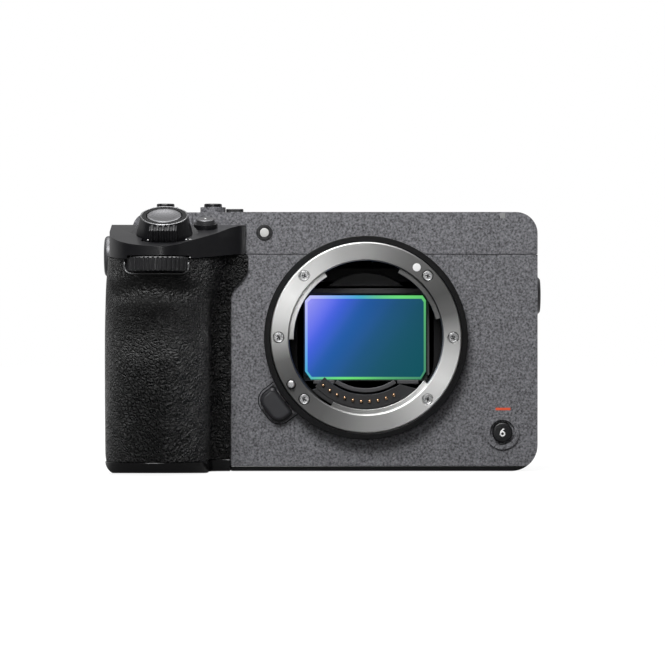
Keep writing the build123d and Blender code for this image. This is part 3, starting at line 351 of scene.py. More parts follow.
def filter_glass_mesh():
    """The filter plate; its first face is the front one, which stands on ground bevels."""
    half_x, half_z = picture_half
    outer = cut_rectangle(-half_x, half_x, -half_z, half_z, corner_cuts)
    inner = cut_rectangle(-half_x + rim_left, half_x - rim_right, -half_z + rim_bottom, half_z - rim_top,
                          [(cut_share * x, cut_share * z) for x, z in corner_cuts])
    work = bmesh.new()
    rings = []
    for outline, y in ((inner, glass_front), (outer, glass_front + rim_depth), (outer, glass_high.y / mm)):
        rings.append([work.verts.new((x * mm, y * mm, (lens_axis + z) * mm)) for x, z in outline])
    work.faces.new(rings[0])
    work.faces.new(rings[2])
    for near, away in ((rings[0], rings[1]), (rings[1], rings[2])):
        for k in range(8):
            work.faces.new((near[k], near[(k + 1) % 8], away[(k + 1) % 8], away[k]))
    bmesh.ops.recalc_face_normals(work, faces=work.faces)
    return mesh_of("filter_glass", work)


corner_a = (-picture_half[0] * mm, 0, (lens_axis + picture_half[1]) * mm)
corner_b = (picture_half[0] * mm, 0, (lens_axis - picture_half[1]) * mm)
filter_face = coating_material("filter_coating", painted_coating_colors, corner_a, corner_b, 0.92, 0.12)
filter_rim = coating_material("filter_rim", painted_rim_colors, corner_a, corner_b, 0.95, 0.3)
glass_front = glass_low.y / mm
filter_mesh = filter_glass_mesh()
settle("filter_glass", filter_mesh, filter_face, "stage_z", "glass", "sensor_glass")
filter_mesh.materials.append(filter_rim)
for face in filter_mesh.polygons:
    face.material_index = min(face.index, 1)
package_black = grained("package_black", (0.012, 0.012, 0.013), 0.5, contrast=0.1, grain=0.3)
rounded_node("image_sensor", package_black, 0.15)

# Light box.
# The black moulded box between the mount and the shutter, matt against stray light, with raised ribs.
# It stands behind the inner frame, and the contact block lies in its pocket, in an arc below the gate.
matt_black = grained("matt_black", (0.0042, 0.0042, 0.0046), 0.62, contrast=0.15, grain=0.35, relief=0.02,
                     specular=0.18)
rib_grey = grained("rib_grey", (0.042, 0.042, 0.045), 0.5, contrast=0.12, grain=0.3, relief=0.015)
baffle_black = grained("baffle_black", (0.010, 0.010, 0.011), 0.5, contrast=0.12, grain=0.3, relief=0.015)
pocket_floor = -14.0
rounded_node("light_box", matt_black, 0.2)
rounded_node("contact_block", baffle_black, 0.12)
gold_plate = grained("gold_plate", (0.62, 0.40, 0.24), 0.25, metallic=1.0, contrast=0.05, grain=0.1,
                     relief=0.002)
rounded_node("contact_pins", gold_plate, 0.03)


def prism_mesh(name, points, front, back):
    """A prism whose outline lies in the front plane."""
    work = bmesh.new()
    near = [work.verts.new((x * mm, front * mm, z * mm)) for x, z in points]
    away = [work.verts.new((x * mm, back * mm, z * mm)) for x, z in points]
    work.faces.new(near)
    work.faces.new(list(reversed(away)))
    for k in range(len(points)):
        after = (k + 1) % len(points)
        work.faces.new((near[after], near[k], away[k], away[after]))
    bmesh.ops.recalc_face_normals(work, faces=work.faces)
    return mesh_of(name, work)


def arc(x, z, radius, start, step, count):
    """Points round a centre, from a start angle on in steps, both in degrees."""
    turns = [radians(start + step * k) for k in range(count)]
    return [(x + radius * cos(turn), z + radius * sin(turn)) for turn in turns]


def arc_points(radius, start, end, steps=28, center=0.0):
    """Points of an arc round the optical axis, or round a point above it."""
    return arc(0, lens_axis + center, radius, start, (end - start) / steps, steps + 1)


def rectangle_points(left, right, low, high):
    """Corners of a rectangle whose heights count from the optical axis."""
    return [(left, lens_axis + low), (right, lens_axis + low), (right, lens_axis + high),
            (left, lens_axis + high)]


ribs = {
    "gate_rib": (rectangle_points(-17.3, 17.3, 13.2, 14.9), 0.9, rib_grey),
    "side_rib": (rectangle_points(18.6, 19.3, -11.5, 12.5), 0.5, rib_grey),
    "left_foot": (rectangle_points(-15.8, -9.3, -14.1, -12.8), 0.4, rib_grey),
    "right_foot": (rectangle_points(9.5, 16.0, -14.1, -12.8), 0.4, rib_grey),
    "arc_rib": (arc_points(16.7, 236, 304) + arc_points(15.3, 304, 236), 0.7, rib_grey),
    "baffle": (arc_points(18.25, 50.3, 129.7, center=1.35), 0.5, baffle_black),
}
cover_front, cover_back = -21.3, -20.7
contact_outline = arc_points(22.5, 224, 316) + arc_points(17.3, 306, 234)
contact_cover = prism_mesh("contact_cover", contact_outline, cover_front, cover_back)
settle("contact_cover", broken_edges(contact_cover, 0.15), baffle_black, "camera", "inner_black")
for rib, (outline, height, finish) in ribs.items():
    rib_mesh = broken_edges(prism_mesh(rib, outline, pocket_floor - height, pocket_floor + 0.2), 0.3, 3)
    settle(rib, rib_mesh, finish, "camera", "inner_black")

# Lens mount.
# The ring is turned from stainless steel and polished round its edges; six screws hold it.
# Leaf springs behind its three tabs pull a lens tight, and a sprung pin locks it.
mount_face = -24.5
painted_highlight_start = 30
painted_highlight_levels = ((0.0, 0.088), (0.08, 0.115), (0.17, 0.165), (0.25, 0.27), (0.33, 0.44), (0.42, 0.56),
              (0.5, 0.76), (0.58, 0.90), (0.667, 1.0), (0.75, 0.72), (0.83, 0.40), (0.92, 0.13),
              (1.0, 0.088))
collar_black = grained("collar_black", (0.004, 0.004, 0.0044), 0.3, contrast=0.06, grain=0.25, relief=0.002,
                       specular=0.2)


def turned_steel_material():
    """Steel with turning marks round the optical axis; two opposite bright lobes of reflection are painted
    into its colour by the angle round the axis.
    """
    finish, tree, shader = new_material("turned_steel")
    shader.inputs["Metallic"].default_value = 0.9
    shader.inputs["Anisotropic"].default_value = 0.3
    place = tree.nodes.new("ShaderNodeTexCoord").outputs["Object"]
    centred = vector_node(tree, "SUBTRACT", place, (0, 0, lens_axis * mm))
    parts = add_node(tree, "SeparateXYZ", Vector=centred).outputs
    squares = [math_node(tree, "MULTIPLY", parts[name], parts[name]) for name in ("X", "Z")]
    radius = math_node(tree, "SQRT", math_node(tree, "ADD", *squares))
    marks = add_node(tree, "TexNoise", Scale=9000.0, Detail=2.0)
    marks.noise_dimensions = "1D"
    feed(tree, marks.inputs["W"], radius)
    angle = math_node(tree, "ARCTAN2", parts["Z"], parts["X"])
    turns = math_node(tree, "DIVIDE", math_node(tree, "SUBTRACT", angle, radians(painted_highlight_start - 360)), pi)
    # Painted highlight: the base colour runs from dark to light by angle round the axis, in two opposite
    # lobes where the lamps would be reflected.
    painted_highlight = ramp_node(tree, math_node(tree, "FRACT", turns),
                     [(position, (level, level, 0.99 * level)) for position, level in painted_highlight_levels])
    feed(tree, shader.inputs["Base Color"], painted_highlight)
    feed(tree, shader.inputs["Roughness"], math_node(tree, "MULTIPLY_ADD", marks.outputs[0], 0.14, 0.38))
    bump = add_node(tree, "Bump", Distance=0.0000012, Height=marks.outputs[0])
    feed(tree, shader.inputs["Normal"], bump.outputs[0])
    tangent = tree.nodes.new("ShaderNodeTangent")
    tangent.direction_type = "RADIAL"
    tangent.axis = "Y"
    feed(tree, shader.inputs["Tangent"], tangent.outputs[0])
    return finish


turned_steel = turned_steel_material()
polished_steel = grained("polished_steel", (0.6, 0.6, 0.605), 0.32, metallic=0.9, contrast=0.04, grain=0.4,
                         relief=0.001)
rounded_node("mount_collar", collar_black, 0.2, 3)
rounded_node("mount_ring", turned_steel, 0.1)
rounded_node("mount_screws", polished_steel, 0.05)
rounded_node("mount_springs", polished_steel, 0.05)
rounded_node("lock_pin", polished_steel, 0.08)
button_black = grained("button_black", (0.022, 0.022, 0.025), 0.4, contrast=0.08, grain=0.25, relief=0.008)
rounded_node("lens_release_button", button_black, 0.8, 4)


def turned_mesh(name, profile, place, axis=(0, -1, 0), steps=48):
    """A turned form: pairs of radius and height, spun about an axis that starts at a place."""
    axis = Vector(axis).normalized()
    side = axis.orthogonal().normalized()
    other = axis.cross(side)
    work = bmesh.new()
    rings = []
    for radius, height in profile:
        ring = []
        for k in range(steps if radius else 1):
            turn = 2 * pi * k / steps
            spoke = side * cos(turn) + other * sin(turn)
            ring.append(work.verts.new((Vector(place) + axis * height + spoke * radius) * mm))
        rings.append(ring)
    for near, away in zip(rings, rings[1:]):
        for k in range(steps):
            corners = [near[k % len(near)], near[(k + 1) % len(near)], away[(k + 1) % len(away)],
                       away[k % len(away)]]
            work.faces.new(list(dict.fromkeys(corners)))
    bmesh.ops.recalc_face_normals(work, faces=work.faces)
    mesh = mesh_of(name, work)
    smooth_by_angle(mesh, 40)
    return mesh


def tube_mesh(name, points, radius, closed=False):
    """A round bead along a line of points."""
    curve = bpy.data.curves.new(name, "CURVE")
    curve.dimensions = "3D"
    curve.bevel_depth = radius * mm
    curve.bevel_resolution = 3
    curve.use_fill_caps = True
    line = curve.splines.new("POLY")
    line.points.add(len(points) - 1)
    for spot, point in zip(line.points, points):
        spot.co = (*(Vector(point) * mm), 1)
    line.use_cyclic_u = closed
    holder = placed(name, curve)
    shapes = bpy.context.evaluated_depsgraph_get()
    mesh = bpy.data.meshes.new_from_object(holder.evaluated_get(shapes), depsgraph=shapes)
    bpy.data.objects.remove(holder)
    smooth_by_angle(mesh, 60)
    return mesh


def dot_profile(radius, rise):
    """The profile of a low dome with a soft edge, from its rim to its crown."""
    return [(radius, -0.05), (radius, 0.3 * rise), (0.9 * radius, 0.75 * rise), (0.6 * radius, 0.95 * rise),
            (0, rise)]


screw_angles = (0, 45, 135, 180, 225, 315)
screw_circle, screw_radius, screw_bead = 26.1, 1.3, 0.13
cross_reach, cross_bead, cross_turn = 0.72, 0.16, 0.5
# Painted shade: each screw's cross recess is a raised dark bead that stands for the shadow in the recess.
cross_recess_shade = grained("cross_recess_shade", (0.035, 0.035, 0.036), 0.4, metallic=0.5, contrast=0.05, grain=0.3,
                     relief=0.002)
for k, degrees in enumerate(screw_angles):
    turn = radians(degrees)
    head = Vector((screw_circle * cos(turn), mount_face, lens_axis + screw_circle * sin(turn)))
    rim_points = [head + Vector((x, 0.02, z)) for x, z in arc(0, 0, screw_radius, 0, 15, 24)]
    settle(f"screw_rim_{k}", tube_mesh("screw_rim", rim_points, screw_bead, True), polished_steel, "camera",
           "screw_steel")
    for n, slant in enumerate((turn + cross_turn, turn + cross_turn + pi / 2)):
        reach = Vector((cross_reach * cos(slant), 0, cross_reach * sin(slant)))
        settle(f"screw_cross_{k}_{n}", tube_mesh("screw_cross", [head - reach, head + reach], cross_bead),
               cross_recess_shade, "camera", "screw_steel")
white_paint = grained("white_paint", (0.72, 0.72, 0.72), 0.45, contrast=0.03, grain=0.3, relief=0.002)
index_turn, index_circle = radians(54.1), 25.9
index_place = (index_circle * cos(index_turn), mount_face, lens_axis + index_circle * sin(index_turn))
settle("index_dot", turned_mesh("index_dot", dot_profile(1.2, 0.06), index_place), white_paint, "camera",
       "lamp_white")
release_turn = radians(217)
release_start, release_end, release_half, release_corner = 30.2, 38.0, 6.0, 4.2
release_face, release_bead = -19.98, 0.16
release_line = [(release_start, -release_half)]
for middle, start in ((-release_half + release_corner, -90), (release_half - release_corner, 0)):
    release_line += arc(release_end - release_corner, middle, release_corner, start, 7.5, 13)
release_line.append((release_start, release_half))
release_points = [(u * cos(release_turn) - v * sin(release_turn), release_face,
                   lens_axis + u * sin(release_turn) + v * cos(release_turn)) for u, v in release_line]
release_tube = tube_mesh("release_lip", release_points, release_bead)
settle("release_lip", release_tube, collar_black, "camera", "black_paint")

# Painted covers.
# The front, top and rear shells are cast magnesium under a fine speckled grey paint.
# They meet at thin seams, and the paint is slightly rough to the touch.
speckled_paint = grained("speckled_paint", (0.128, 0.128, 0.138), 0.46, metallic=0.25, contrast=0.95,
                         grain=0.62, unevenness=0.05, relief=0.02)
rounded_node("front_cover", speckled_paint, 0.3, 3)
rounded_node("top_cover", speckled_paint, 0.6, 3)
rounded_node("rear_cover", speckled_paint, 0.3, 3)

# Base plate and grip base.
# Glossy black parts that close the body from below; the plate shows as a dark strip under the paint.
gloss_black = grained("gloss_black", (0.003, 0.003, 0.0033), 0.16, contrast=0.1, grain=0.4, relief=0.002)
rounded_node("bottom_plate", gloss_black, 0.25, 3)
rounded_node("grip_base", gloss_black, 0.3, 3)

# Threaded sockets and shoe.
# The tripod socket and the accessory inserts are steel bushes pressed into the castings.
# The two inserts on the sides stand out as round bosses, and the shoe is a black anodised rail.
bush_steel = grained("bush_steel", (0.09, 0.09, 0.095), 0.42, metallic=0.6, contrast=0.06, grain=0.3)
rounded_node("tripod_socket", bush_steel, 0.15)
rounded_node("thread_inserts", bush_steel, 0.15)
rounded_node("accessory_shoe", black_anodised, 0.2)

# Handgrip.
# A hollow moulding that holds the battery, wrapped in black pebbled rubber.
# The smooth top cover carries the controls.
grip_heart = (-60.0, -10.0)
grip_back = -1.1
pad_face = -21.0
pad_edge_low, pad_edge_high = -40.5, -35.4
pad_turn = (52.5, 60.5)
skin_low = 3.75
skin_thick = 0.62
cover_split = 65.1
trim_slope = tan(radians(5.0))
panel_front = -20.0
window_left, window_right, window_low, window_high = -70.9, -52.6, 59.15, 66.0
window_corner = 1.9
skin_bevel, trim_gap = 0.22, 0.15
first_turn, last_turn, ray_count = 150, 337, 260
level_blend, turn_blend = 1.8, 1.4
painted_shade_center, painted_shade_half = (-63.0, 54.4), (16.0, 6.6)
satin_black = grained("satin_black", (0.005, 0.005, 0.006), 0.33, contrast=0.08, grain=0.22, relief=0.008)


def leather_material():
    """Black rubber moulded with a pebbled hide: flat pebbles parted by creases that flow and branch.

    In the hollow under the front dial, where a finger rests, shade is painted in: the hide is darker,
    flatter and rougher there. The creases between the pebbles are painted darker too, as shade.
    """
    finish, tree, shader = new_material("grip_hide")
    shader.inputs["Specular IOR Level"].default_value = 0.34
    place = tree.nodes.new("ShaderNodeTexCoord").outputs["Object"]
    in_mm = vector_node(tree, "MULTIPLY", place, (1000.0, 1000.0, 1200.0))
    drift = add_node(tree, "TexNoise", Vector=in_mm, Scale=0.16, Detail=1.0)
    flow = vector_node(tree, "MULTIPLY_ADD", drift.outputs["Color"], (3.2, 3.2, 3.2), in_mm)
    pebbles = add_node(tree, "TexVoronoi", Vector=flow, Scale=0.7)
    pebbles.feature = "DISTANCE_TO_EDGE"
    grains = add_node(tree, "TexVoronoi", Vector=flow, Scale=1.4)
    grains.feature = "DISTANCE_TO_EDGE"
    pores = add_node(tree, "TexNoise", Vector=flow, Scale=3.4, Detail=3.0, Roughness=0.6)
    large = math_node(tree, "SMOOTH_MIN", math_node(tree, "MULTIPLY", pebbles.outputs[0], 3.0), 0.8, 0.5)
    small = math_node(tree, "SMOOTH_MIN", math_node(tree, "MULTIPLY", grains.outputs[0], 3.0), 0.6, 0.4)
    height = math_node(tree, "MULTIPLY_ADD", small, 0.55, large)
    height = math_node(tree, "MULTIPLY_ADD", pores.outputs[0], 0.5, height)
    # Painted shade: a smooth mask over the hollow under the front dial darkens the hide there and weakens
    # its relief.
    (center_x, center_z), (half_x, half_z) = painted_shade_center, painted_shade_half
    away = vector_node(tree, "MULTIPLY_ADD", place, (1000 / half_x, 0.0, 1000 / half_z),
                       (-center_x / half_x, 0.0, -center_z / half_z))
    outside_painted_shade = add_node(tree, "MapRange", Value=vector_node(tree, "LENGTH", away), From_Min=0.45, From_Max=1.25)
    outside_painted_shade.interpolation_type = "SMOOTHSTEP"
    outside_painted_shade = outside_painted_shade.outputs[0]
    strength = math_node(tree, "MULTIPLY_ADD", outside_painted_shade, 0.6, 0.4)
    bump = add_node(tree, "Bump", Distance=0.001, Strength=strength, Height=height)
    feed(tree, shader.inputs["Normal"], bump.outputs[0])
    # Painted shade: the colour is darker in the creases between pebbles and all over the hollow.
    painted_shade_tone = tree.nodes.new("ShaderNodeMix")
    painted_shade_tone.data_type = "RGBA"
    feed(tree, painted_shade_tone.inputs["Factor"], math_node(tree, "MULTIPLY", large, outside_painted_shade))
    feed(tree, painted_shade_tone.inputs["A"], (0.001, 0.001, 0.001, 1))
    feed(tree, painted_shade_tone.inputs["B"], (0.004, 0.004, 0.0043, 1))
    feed(tree, shader.inputs["Base Color"], painted_shade_tone.outputs["Result"])
    hollow_roughness = math_node(tree, "MULTIPLY_ADD", outside_painted_shade, -0.10, 0.10)
    satin = math_node(tree, "MULTIPLY_ADD", large, -0.18, 0.40)
    feed(tree, shader.inputs["Roughness"], math_node(tree, "ADD", satin, hollow_roughness))
    return finish


def blended(rows, width, spread):
    """Rows blended with their neighbours by a bell curve; the end rows count on past the ends."""
    weights = np.exp(-0.5 * (np.arange(-width, width + 1) / spread) ** 2)
    weights /= weights.sum()
    padded = np.concatenate([rows[:1]] * width + [rows] + [rows[-1:]] * width)
    return sum(weight * padded[k:k + len(rows)] for k, weight in enumerate(weights))


def grip_sections(low, high, step, columns):
    """Smooth sections of the grip: rays towards its heart find the form, and its levels are blended."""
    form = form_of(*(frame["nodes"][node].data for node in ("grip_skin", "grip_top_cover", "grip_base")))
    heights = np.arange(low, high + step / 2, step)
    angles = np.radians(np.linspace(first_turn, last_turn, ray_count))
    rows = []
    for height in heights:
        row = []
        for angle in angles:
            toward = Vector((cos(angle), sin(angle), 0))
            heart = Vector((*grip_heart, height)) * mm
            hit = form.ray_cast(heart + toward * 0.1, -toward)[0]
            row.append((hit.x / mm, hit.y / mm) if hit else (0.0, 0.0))
        rows.append(row)
    rows = np.array(rows)
    on_pad = (rows[:, :, 1] > pad_face) & (angles > radians(270))[None, :]
    reach = (pad_face - grip_heart[1]) / np.sin(angles)
    pad_x = grip_heart[0] + reach * np.cos(angles)
    rows[:, :, 0] = np.where(on_pad, pad_x[None, :], rows[:, :, 0])
    rows[:, :, 1] = np.where(on_pad, pad_face, rows[:, :, 1])
    near_window = (heights > window_low - 0.6) & (heights < cover_split + 1.2)
    first, last = np.flatnonzero(near_window)[[0, -1]]
    for k in range(first, last + 1):
        share = (k - first + 1) / (last - first + 2)
        rows[k] = rows[first - 1] * (1 - share) + rows[last + 1] * share
    smooth = blended(rows, 6, level_blend / step)
    smooth = blended(smooth.swapaxes(0, 1), 3, turn_blend).swapaxes(0, 1)
    result = np.zeros((len(heights), columns, 2))
    for k, (height, row) in enumerate(zip(heights, smooth)):
        turn = min(max((height - pad_turn[0]) / (pad_turn[1] - pad_turn[0]), 0), 1)
        edge = pad_edge_low + (pad_edge_high - pad_edge_low) * turn * turn * (3 - 2 * turn)
        row = row[(row[:, 1] < grip_back) & ((row[:, 0] < edge) | (row[:, 1] < pad_face - 0.5))]
        row = np.vstack([[row[0, 0], grip_back], row, [edge, pad_face]])
        length = np.concatenate([[0], np.cumsum(np.hypot(*np.diff(row, axis=0).T))])
        share = np.linspace(0, length[-1], columns)
        result[k, :, 0] = np.interp(share, length, row[:, 0])
        result[k, :, 1] = np.interp(share, length, row[:, 1])
    return heights, result


def leather_mesh(rows=78, columns=150):
    """The hide as one sheet: it ends at the base, at the trim line, behind the left side and on the pad."""
    heights, sections = grip_sections(1.0, 69.0, 1.0, columns)
    work = bmesh.new()
    grid = []
    for c in range(columns):
        xs, ys = sections[:, c, 0], sections[:, c, 1]
        top = cover_split - trim_gap
        for _ in range(3):
            y = np.interp(top, heights, ys)
            top = cover_split - trim_gap + (y - panel_front) * trim_slope
        line = []
        for r in range(rows + 1):
            z = skin_low + (top - skin_low) * r / rows
            place = (np.interp(z, heights, xs) * mm, np.interp(z, heights, ys) * mm, z * mm)
            line.append(work.verts.new(place))
        grid.append(line)
    for a, b in zip(grid, grid[1:]):
        for r in range(rows):
            work.faces.new((a[r], b[r], b[r + 1], a[r + 1]))
    return mesh_of("grip_hide", work)


def rounded_rectangle(left, right, low, high, corner, steps=6):
    """Points of a rectangle with round corners, as seen from the front."""
    points = []
    for x, z, start in ((right - corner, high - corner, 0), (left + corner, high - corner, 90),
                        (left + corner, low + corner, 180), (right - corner, low + corner, 270)):
        points += arc(x, z, corner, start, 90 / steps, steps + 1)
    return points


window_outline = rounded_rectangle(window_left, window_right, window_low, window_high + 3, window_corner)
window_cutter = placed("window_cutter", prism_mesh("window_cutter", window_outline, -60, -36))


def hide_modifiers(holder):
    """Gives the hide its thickness, the dial's window and broken edges."""
    thickness = holder.modifiers.new("thickness", "SOLIDIFY")
    thickness.thickness = skin_thick * mm
    thickness.offset = -1
    window = holder.modifiers.new("window", "BOOLEAN")
    window.operation = "DIFFERENCE"
    window.object = window_cutter
    edge = holder.modifiers.new("edge", "BEVEL")
    edge.width = skin_bevel * mm
    edge.segments = 2
    edge.limit_method = "ANGLE"
    edge.angle_limit = radians(50)


hide_mesh = applied(leather_mesh(), hide_modifiers)
bpy.data.objects.remove(window_cutter)
smooth_by_angle(hide_mesh, 40)
settle("grip_hide", hide_mesh, leather_material(), "camera", "grip_rubber", "grip_skin")
rounded_node("grip_shell", moulded_black, 0.1)
rounded_node("grip_top_cover", satin_black, 0.25)
lip_high, lip_gap, lip_bead = 62.9, 0.25, 0.3
lip_step, lip_proud, lip_tuck = 0.8, 0.12, 1.4
lip_line = [(window_left - lip_gap, lip_high)]
for center_x, start in ((window_left + window_corner, 180), (window_right - window_corner, 270)):
    lip_line += arc(center_x, window_low + window_corner, window_corner + lip_gap, start, 10, 10)
lip_line.append((window_right + lip_gap, lip_high))
full_line = []
for (x0, z0), (x1, z1) in zip(lip_line, lip_line[1:]):
    pieces = max(1, round(max(abs(x1 - x0), abs(z1 - z0)) / lip_step))
    full_line += [(x0 + (x1 - x0) * k / pieces, z0 + (z1 - z0) * k / pieces) for k in range(pieces)]
full_line.append(lip_line[-1])
hide_form = form_of(hide_mesh)
lip_points = []
for x, z in full_line:
    spot = hide_form.ray_cast(Vector((x, -80, z)) * mm, Vector((0, 1, 0)))[0]
    if spot and spot.y < -30 * mm:
        lip_points.append((x, spot.y / mm - lip_proud, z))
for end in (0, -1):
    x, y, z = lip_points[end]
    lip_points[end] = (x, y + lip_tuck, z)
# The lip is gloss black plastic; its grey colour is partly a painted highlight, so that it shows as a light
# line.
lip_gloss_and_highlight = grained("lip_gloss_and_highlight", (0.07, 0.07, 0.072), 0.24, contrast=0.06, grain=0.3, relief=0.002, coat=0.4)
settle("window_lip", tube_mesh("window_lip", lip_points, lip_bead), lip_gloss_and_highlight, "camera", "satin_black")

# Battery, its door and latch.
# The pack is a grey block; the door turns on a steel pin along its back edge and a slide locks it.
battery_grey = grained("battery_grey", (0.05, 0.05, 0.054), 0.5, contrast=0.08, grain=0.3)
rounded_node("battery", battery_grey, 0.3)
rounded_node("battery_door", moulded_black, 0.2)
rounded_node("battery_door_pin", polished_steel, 0.05)
rounded_node("battery_latch", satin_black, 0.12)

# Cards and cable sockets.
# Both are closed by small doors with round hinge edges.
# The port covers keep their CAD meshes, because rounded edges leave a dark fault in their shading.
rounded_node("card_reader", moulded_black, 0.1)
rounded_node("card_door", satin_black, 0.15)
rounded_node("port_block", moulded_black, 0.1)
for node in ("port_cover_upper", "port_cover_lower"):
    frame["nodes"][node].data.materials.clear()
    frame["nodes"][node].data.materials.append(satin_black)

# Monitor.
# A black moulded housing with a glossy cover glass, on an arm that swings on the bracket's pin.
screen_glass = grained("screen_glass", (0.008, 0.008, 0.009), 0.06, contrast=0.0, grain=1.0, relief=0.0,
                       unevenness=0.01, coat=1.0)
rounded_node("monitor_bracket", collar_black, 0.15)
rounded_node("monitor_arm", collar_black, 0.15)
rounded_node("monitor_housing", satin_black, 0.4, 3)
rounded_node("monitor_glass", screen_glass, 0.08)

# Controls on the grip and the top.
# The dials and buttons are moulded or turned in satin black; two of the caps are blasted metal.
# A bright ring is turned on the zoom lever's rim round a gloss black inlay.
button_metal = grained("button_metal", (0.115, 0.115, 0.12), 0.36, metallic=0.75, contrast=0.08, grain=0.3,
                       relief=0.006)
ring_metal = grained("ring_metal", (0.22, 0.22, 0.225), 0.34, metallic=0.8, contrast=0.05, grain=0.3,
                     relief=0.002)
dial_black = grained("dial_black", (0.016, 0.016, 0.017), 0.3, contrast=0.08, grain=0.25, relief=0.004)
rounded_node("zoom_lever", satin_black, 0.18, 3)
rounded_node("shutter_button", button_metal, 0.12, 3)
for node, finish, radius in (
        ("record_button", button_metal, 0.1), ("top_button_left", satin_black, 0.1),
        ("top_button_right", satin_black, 0.1), ("power_switch", satin_black, 0.15),
        ("front_dial", dial_black, 0.08), ("front_button", satin_black, 0.12),
        ("rear_dial", dial_black, 0.08), ("control_wheel", satin_black, 0.15),
        ("wheel_button", satin_black, 0.15), ("joystick", satin_black, 0.1),
        ("joystick_gimbal", polished_steel, 0.05), ("menu_button", satin_black, 0.12)):
    rounded_node(node, finish, radius)
deck_tilt, lever_tilt = radians(15), radians(25)
deck_height = 73.95
lever_axis = (0, -sin(lever_tilt), cos(lever_tilt))
deck_axis = (0, -sin(deck_tilt), cos(deck_tilt))


def on_deck(x, y):
    """A place on the sloping deck of the grip."""
    return (x, y, deck_height + (y - panel_front) * tan(deck_tilt))


lever_foot = on_deck(-59.9, -30.8)
rim_high, record_high = 5.7, 2.7
inlay_profile = [(5.5, -0.3), (5.5, 0.02), (6.6, 0.02), (6.75, -0.3)]
rim_profile = [(6.72, -0.1), (6.74, 0.08), (6.85, 0.12), (7.0, 0.06), (7.1, -0.12), (6.9, -0.25)]
for name, profile, finish in (("lever_inlay", inlay_profile, gloss_black),
                              ("lever_rim", rim_profile, ring_metal)):
    risen = [(radius, rim_high + height) for radius, height in profile]
    settle(name, turned_mesh(name, risen, lever_foot, lever_axis), finish, "lever", "satin_black")
record_place = Vector(on_deck(-48.0, -23.4)) + Vector(deck_axis) * record_high
settle("record_dot", turned_mesh("record_dot", dot_profile(0.3, 0.05), record_place, deck_axis), white_paint,
       "record", "lamp_white")
for name, x, y, radius in (("zoom_mark_wide", -64.4, -38.8, 0.32), ("zoom_mark_near", -53.1, -38.4, 0.3),
                           ("zoom_mark_nearer", -52.1, -38.1, 0.3)):
    settle(name, turned_mesh(name, dot_profile(radius, 0.03), on_deck(x, y), deck_axis, 16), white_paint,
           "camera", "lamp_white")

# Printed marks on the front.
# A plain numeral on the round button and a plain red bar above it.
# Both are of thin raised paint with soft edges.
button_x, button_z, button_face, numeral_bead = 41.0, 11.6, -21.2, 0.24
numeral_stem = [(0.46, 1.08), (0.08, 0.8), (-0.34, 0.34), (-0.6, -0.2)]
numeral_line = numeral_stem + arc(0.02, -0.42, 0.62, 180, 15, 25)
numeral_points = [(button_x + x, button_face, button_z + z) for x, z in numeral_line]
numeral_mesh = tube_mesh("numeral", numeral_points, numeral_bead)
settle("numeral", numeral_mesh, white_paint, "front_press", "lamp_white")
red_paint = grained("red_paint", (0.62, 0.075, 0.025), 0.5, contrast=0.05, grain=0.3, relief=0.002)
bar_outline = rectangle_points(39.0, 43.4, -21.85, -21.1)
red_bar = prism_mesh("red_bar", bar_outline, panel_front - 0.04, panel_front + 0.1)
settle("red_bar", broken_edges(red_bar, 0.02), red_paint, "camera", "lamp_white")

# Lamps.
# The focus lamp has a frosted dome in a black bezel, and the tally lamp is a small grey window.
# Both are mouldings set in holes of the front.
frosted_white = grained("frosted_white", (0.50, 0.50, 0.49), 0.35, contrast=0.05, grain=0.4, relief=0.002)
lamp_grey = grained("lamp_grey", (0.22, 0.22, 0.22), 0.35, contrast=0.05, grain=0.4, relief=0.002)
rounded_node("af_lamp", satin_black, 0.15)
rounded_node("tally_lamp", lamp_grey, 0.08)
lamp_low, lamp_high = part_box("af_lamp")
lamp_place = ((lamp_low.x + lamp_high.x) / 2 / mm, lamp_low.y / mm, (lamp_low.z + lamp_high.z) / 2 / mm)
settle("lamp_dome", turned_mesh("lamp_dome", dot_profile(1.35, 0.1), lamp_place), frosted_white, "camera",
       "lamp_white")


# Studio.
# A pale floor that keeps the shadow, a white backdrop, four soft lamps and the camera.
# The camera looks square at the mount from a metre in front of its face.
def floor_mesh(half, height):
    """A flat square floor."""
    work = bmesh.new()
    corners = [work.verts.new((x * half, y * half, height)) for x, y in ((-1, -1), (1, -1), (1, 1), (-1, 1))]
    work.faces.new(corners)
    return mesh_of("studio_floor", work)


def white_rays(tree, place, low, high, blend):
    """The rays that find white: those of the lens or through glass, and mirrored ones that lead behind."""
    rays = tree.nodes.new("ShaderNodeLightPath").outputs
    depth = add_node(tree, "SeparateXYZ", Vector=place).outputs["Y"]
    behind = add_node(tree, "MapRange", Value=depth, From_Min=low, From_Max=high)
    behind.interpolation_type = blend
    seen = math_node(tree, "ADD", rays["Is Camera Ray"], rays["Is Transmission Ray"])
    return seen, math_node(tree, "MULTIPLY", rays["Is Glossy Ray"], behind.outputs[0])


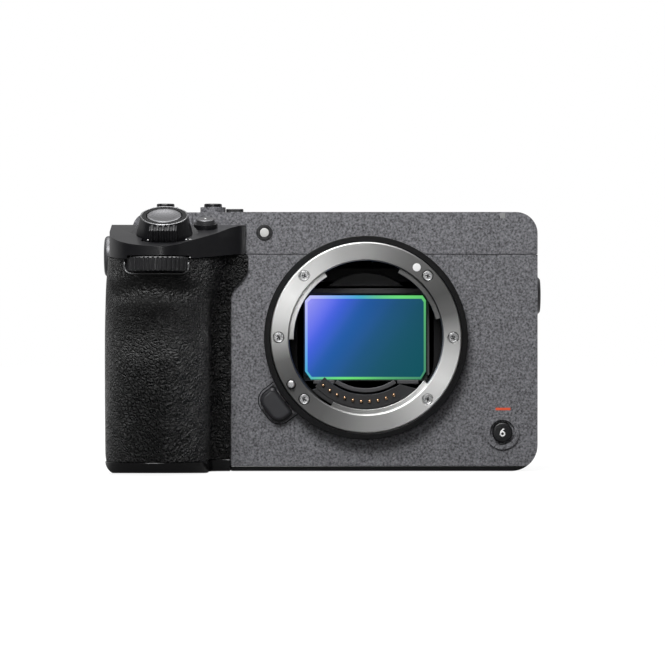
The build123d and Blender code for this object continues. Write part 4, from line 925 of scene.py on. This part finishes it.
def floor_material():
    """A pale floor that reads as white to the lens and in reflections, and keeps the shadow."""
    finish, tree, shader = new_material("studio_floor")
    tree.nodes.remove(shader)
    place = tree.nodes.new("ShaderNodeTexCoord").outputs["Object"]
    seen, glossy = white_rays(tree, place, -0.03, 0.25, "LINEAR")
    fade = add_node(tree, "MapRange", Value=vector_node(tree, "LENGTH", place), From_Min=0.12, From_Max=0.45,
                    To_Min=0.93, To_Max=1.02)
    strength = math_node(tree, "ADD", math_node(tree, "MULTIPLY", seen, fade.outputs[0]), glossy)
    diffuse = add_node(tree, "BsdfDiffuse", Color=(0.08, 0.08, 0.08, 1))
    white = add_node(tree, "Emission", Color=(1, 1, 1, 1), Strength=strength)
    both = tree.nodes.new("ShaderNodeAddShader")
    feed(tree, both.inputs[0], diffuse.outputs[0])
    feed(tree, both.inputs[1], white.outputs[0])
    feed(tree, tree.nodes["Material Output"].inputs["Surface"], both.outputs[0])
    return finish


floor = placed("studio_floor", floor_mesh(3.0, -0.0002))
floor.data.materials.append(floor_material())

ambient_light, backdrop_gloss = 0.06, 0.3
world = bpy.data.worlds.new("studio")
bpy.context.scene.world = world
world.use_nodes = True
sky = world.node_tree
toward = sky.nodes.new("ShaderNodeTexCoord").outputs["Generated"]
seen, glossy = white_rays(sky, toward, -0.2, 0.6, "SMOOTHSTEP")
strength = math_node(sky, "MULTIPLY_ADD", seen, 1 - ambient_light, ambient_light)
strength = math_node(sky, "MULTIPLY_ADD", glossy, backdrop_gloss, strength)
feed(sky, sky.nodes["Background"].inputs["Color"], (1, 1, 1, 1))
feed(sky, sky.nodes["Background"].inputs["Strength"], strength)


def soft_lamp(name, place, size, watts, target=(0, -0.01, 0.04)):
    """A soft box that faces the body."""
    lamp = bpy.data.lights.new(name, "AREA")
    lamp.shape = "RECTANGLE"
    lamp.size, lamp.size_y = size
    lamp.energy = watts
    holder = placed(name, lamp)
    holder.location = place
    holder.rotation_euler = (Vector(target) - Vector(place)).to_track_quat("-Z", "Y").to_euler()


soft_lamp("key_lamp", (-0.22, -0.72, 0.68), (0.40, 0.30), 7.6)
soft_lamp("front_lamp", (-0.06, -0.30, 0.40), (0.30, 0.15), 1.3)
soft_lamp("top_lamp", (0.0, 0.06, 0.80), (0.9, 0.5), 9.4)
soft_lamp("low_lamp", (-0.06, -0.90, 0.16), (0.08, 0.08), 0.3)

view_x, view_z, view_distance = -10.0, 41.6, 1000.0
lens = bpy.data.cameras.new("photo_camera")
lens.sensor_width = 36.0
lens.lens = 181.08
lens.clip_start = 0.05
camera = placed("photo_camera", lens)
camera.location = Vector((view_x, mount_face - view_distance, view_z)) * mm
camera.rotation_euler = (radians(90), 0, 0)
bpy.context.scene.camera = camera

bpy.context.scene.view_settings.view_transform = "Standard"
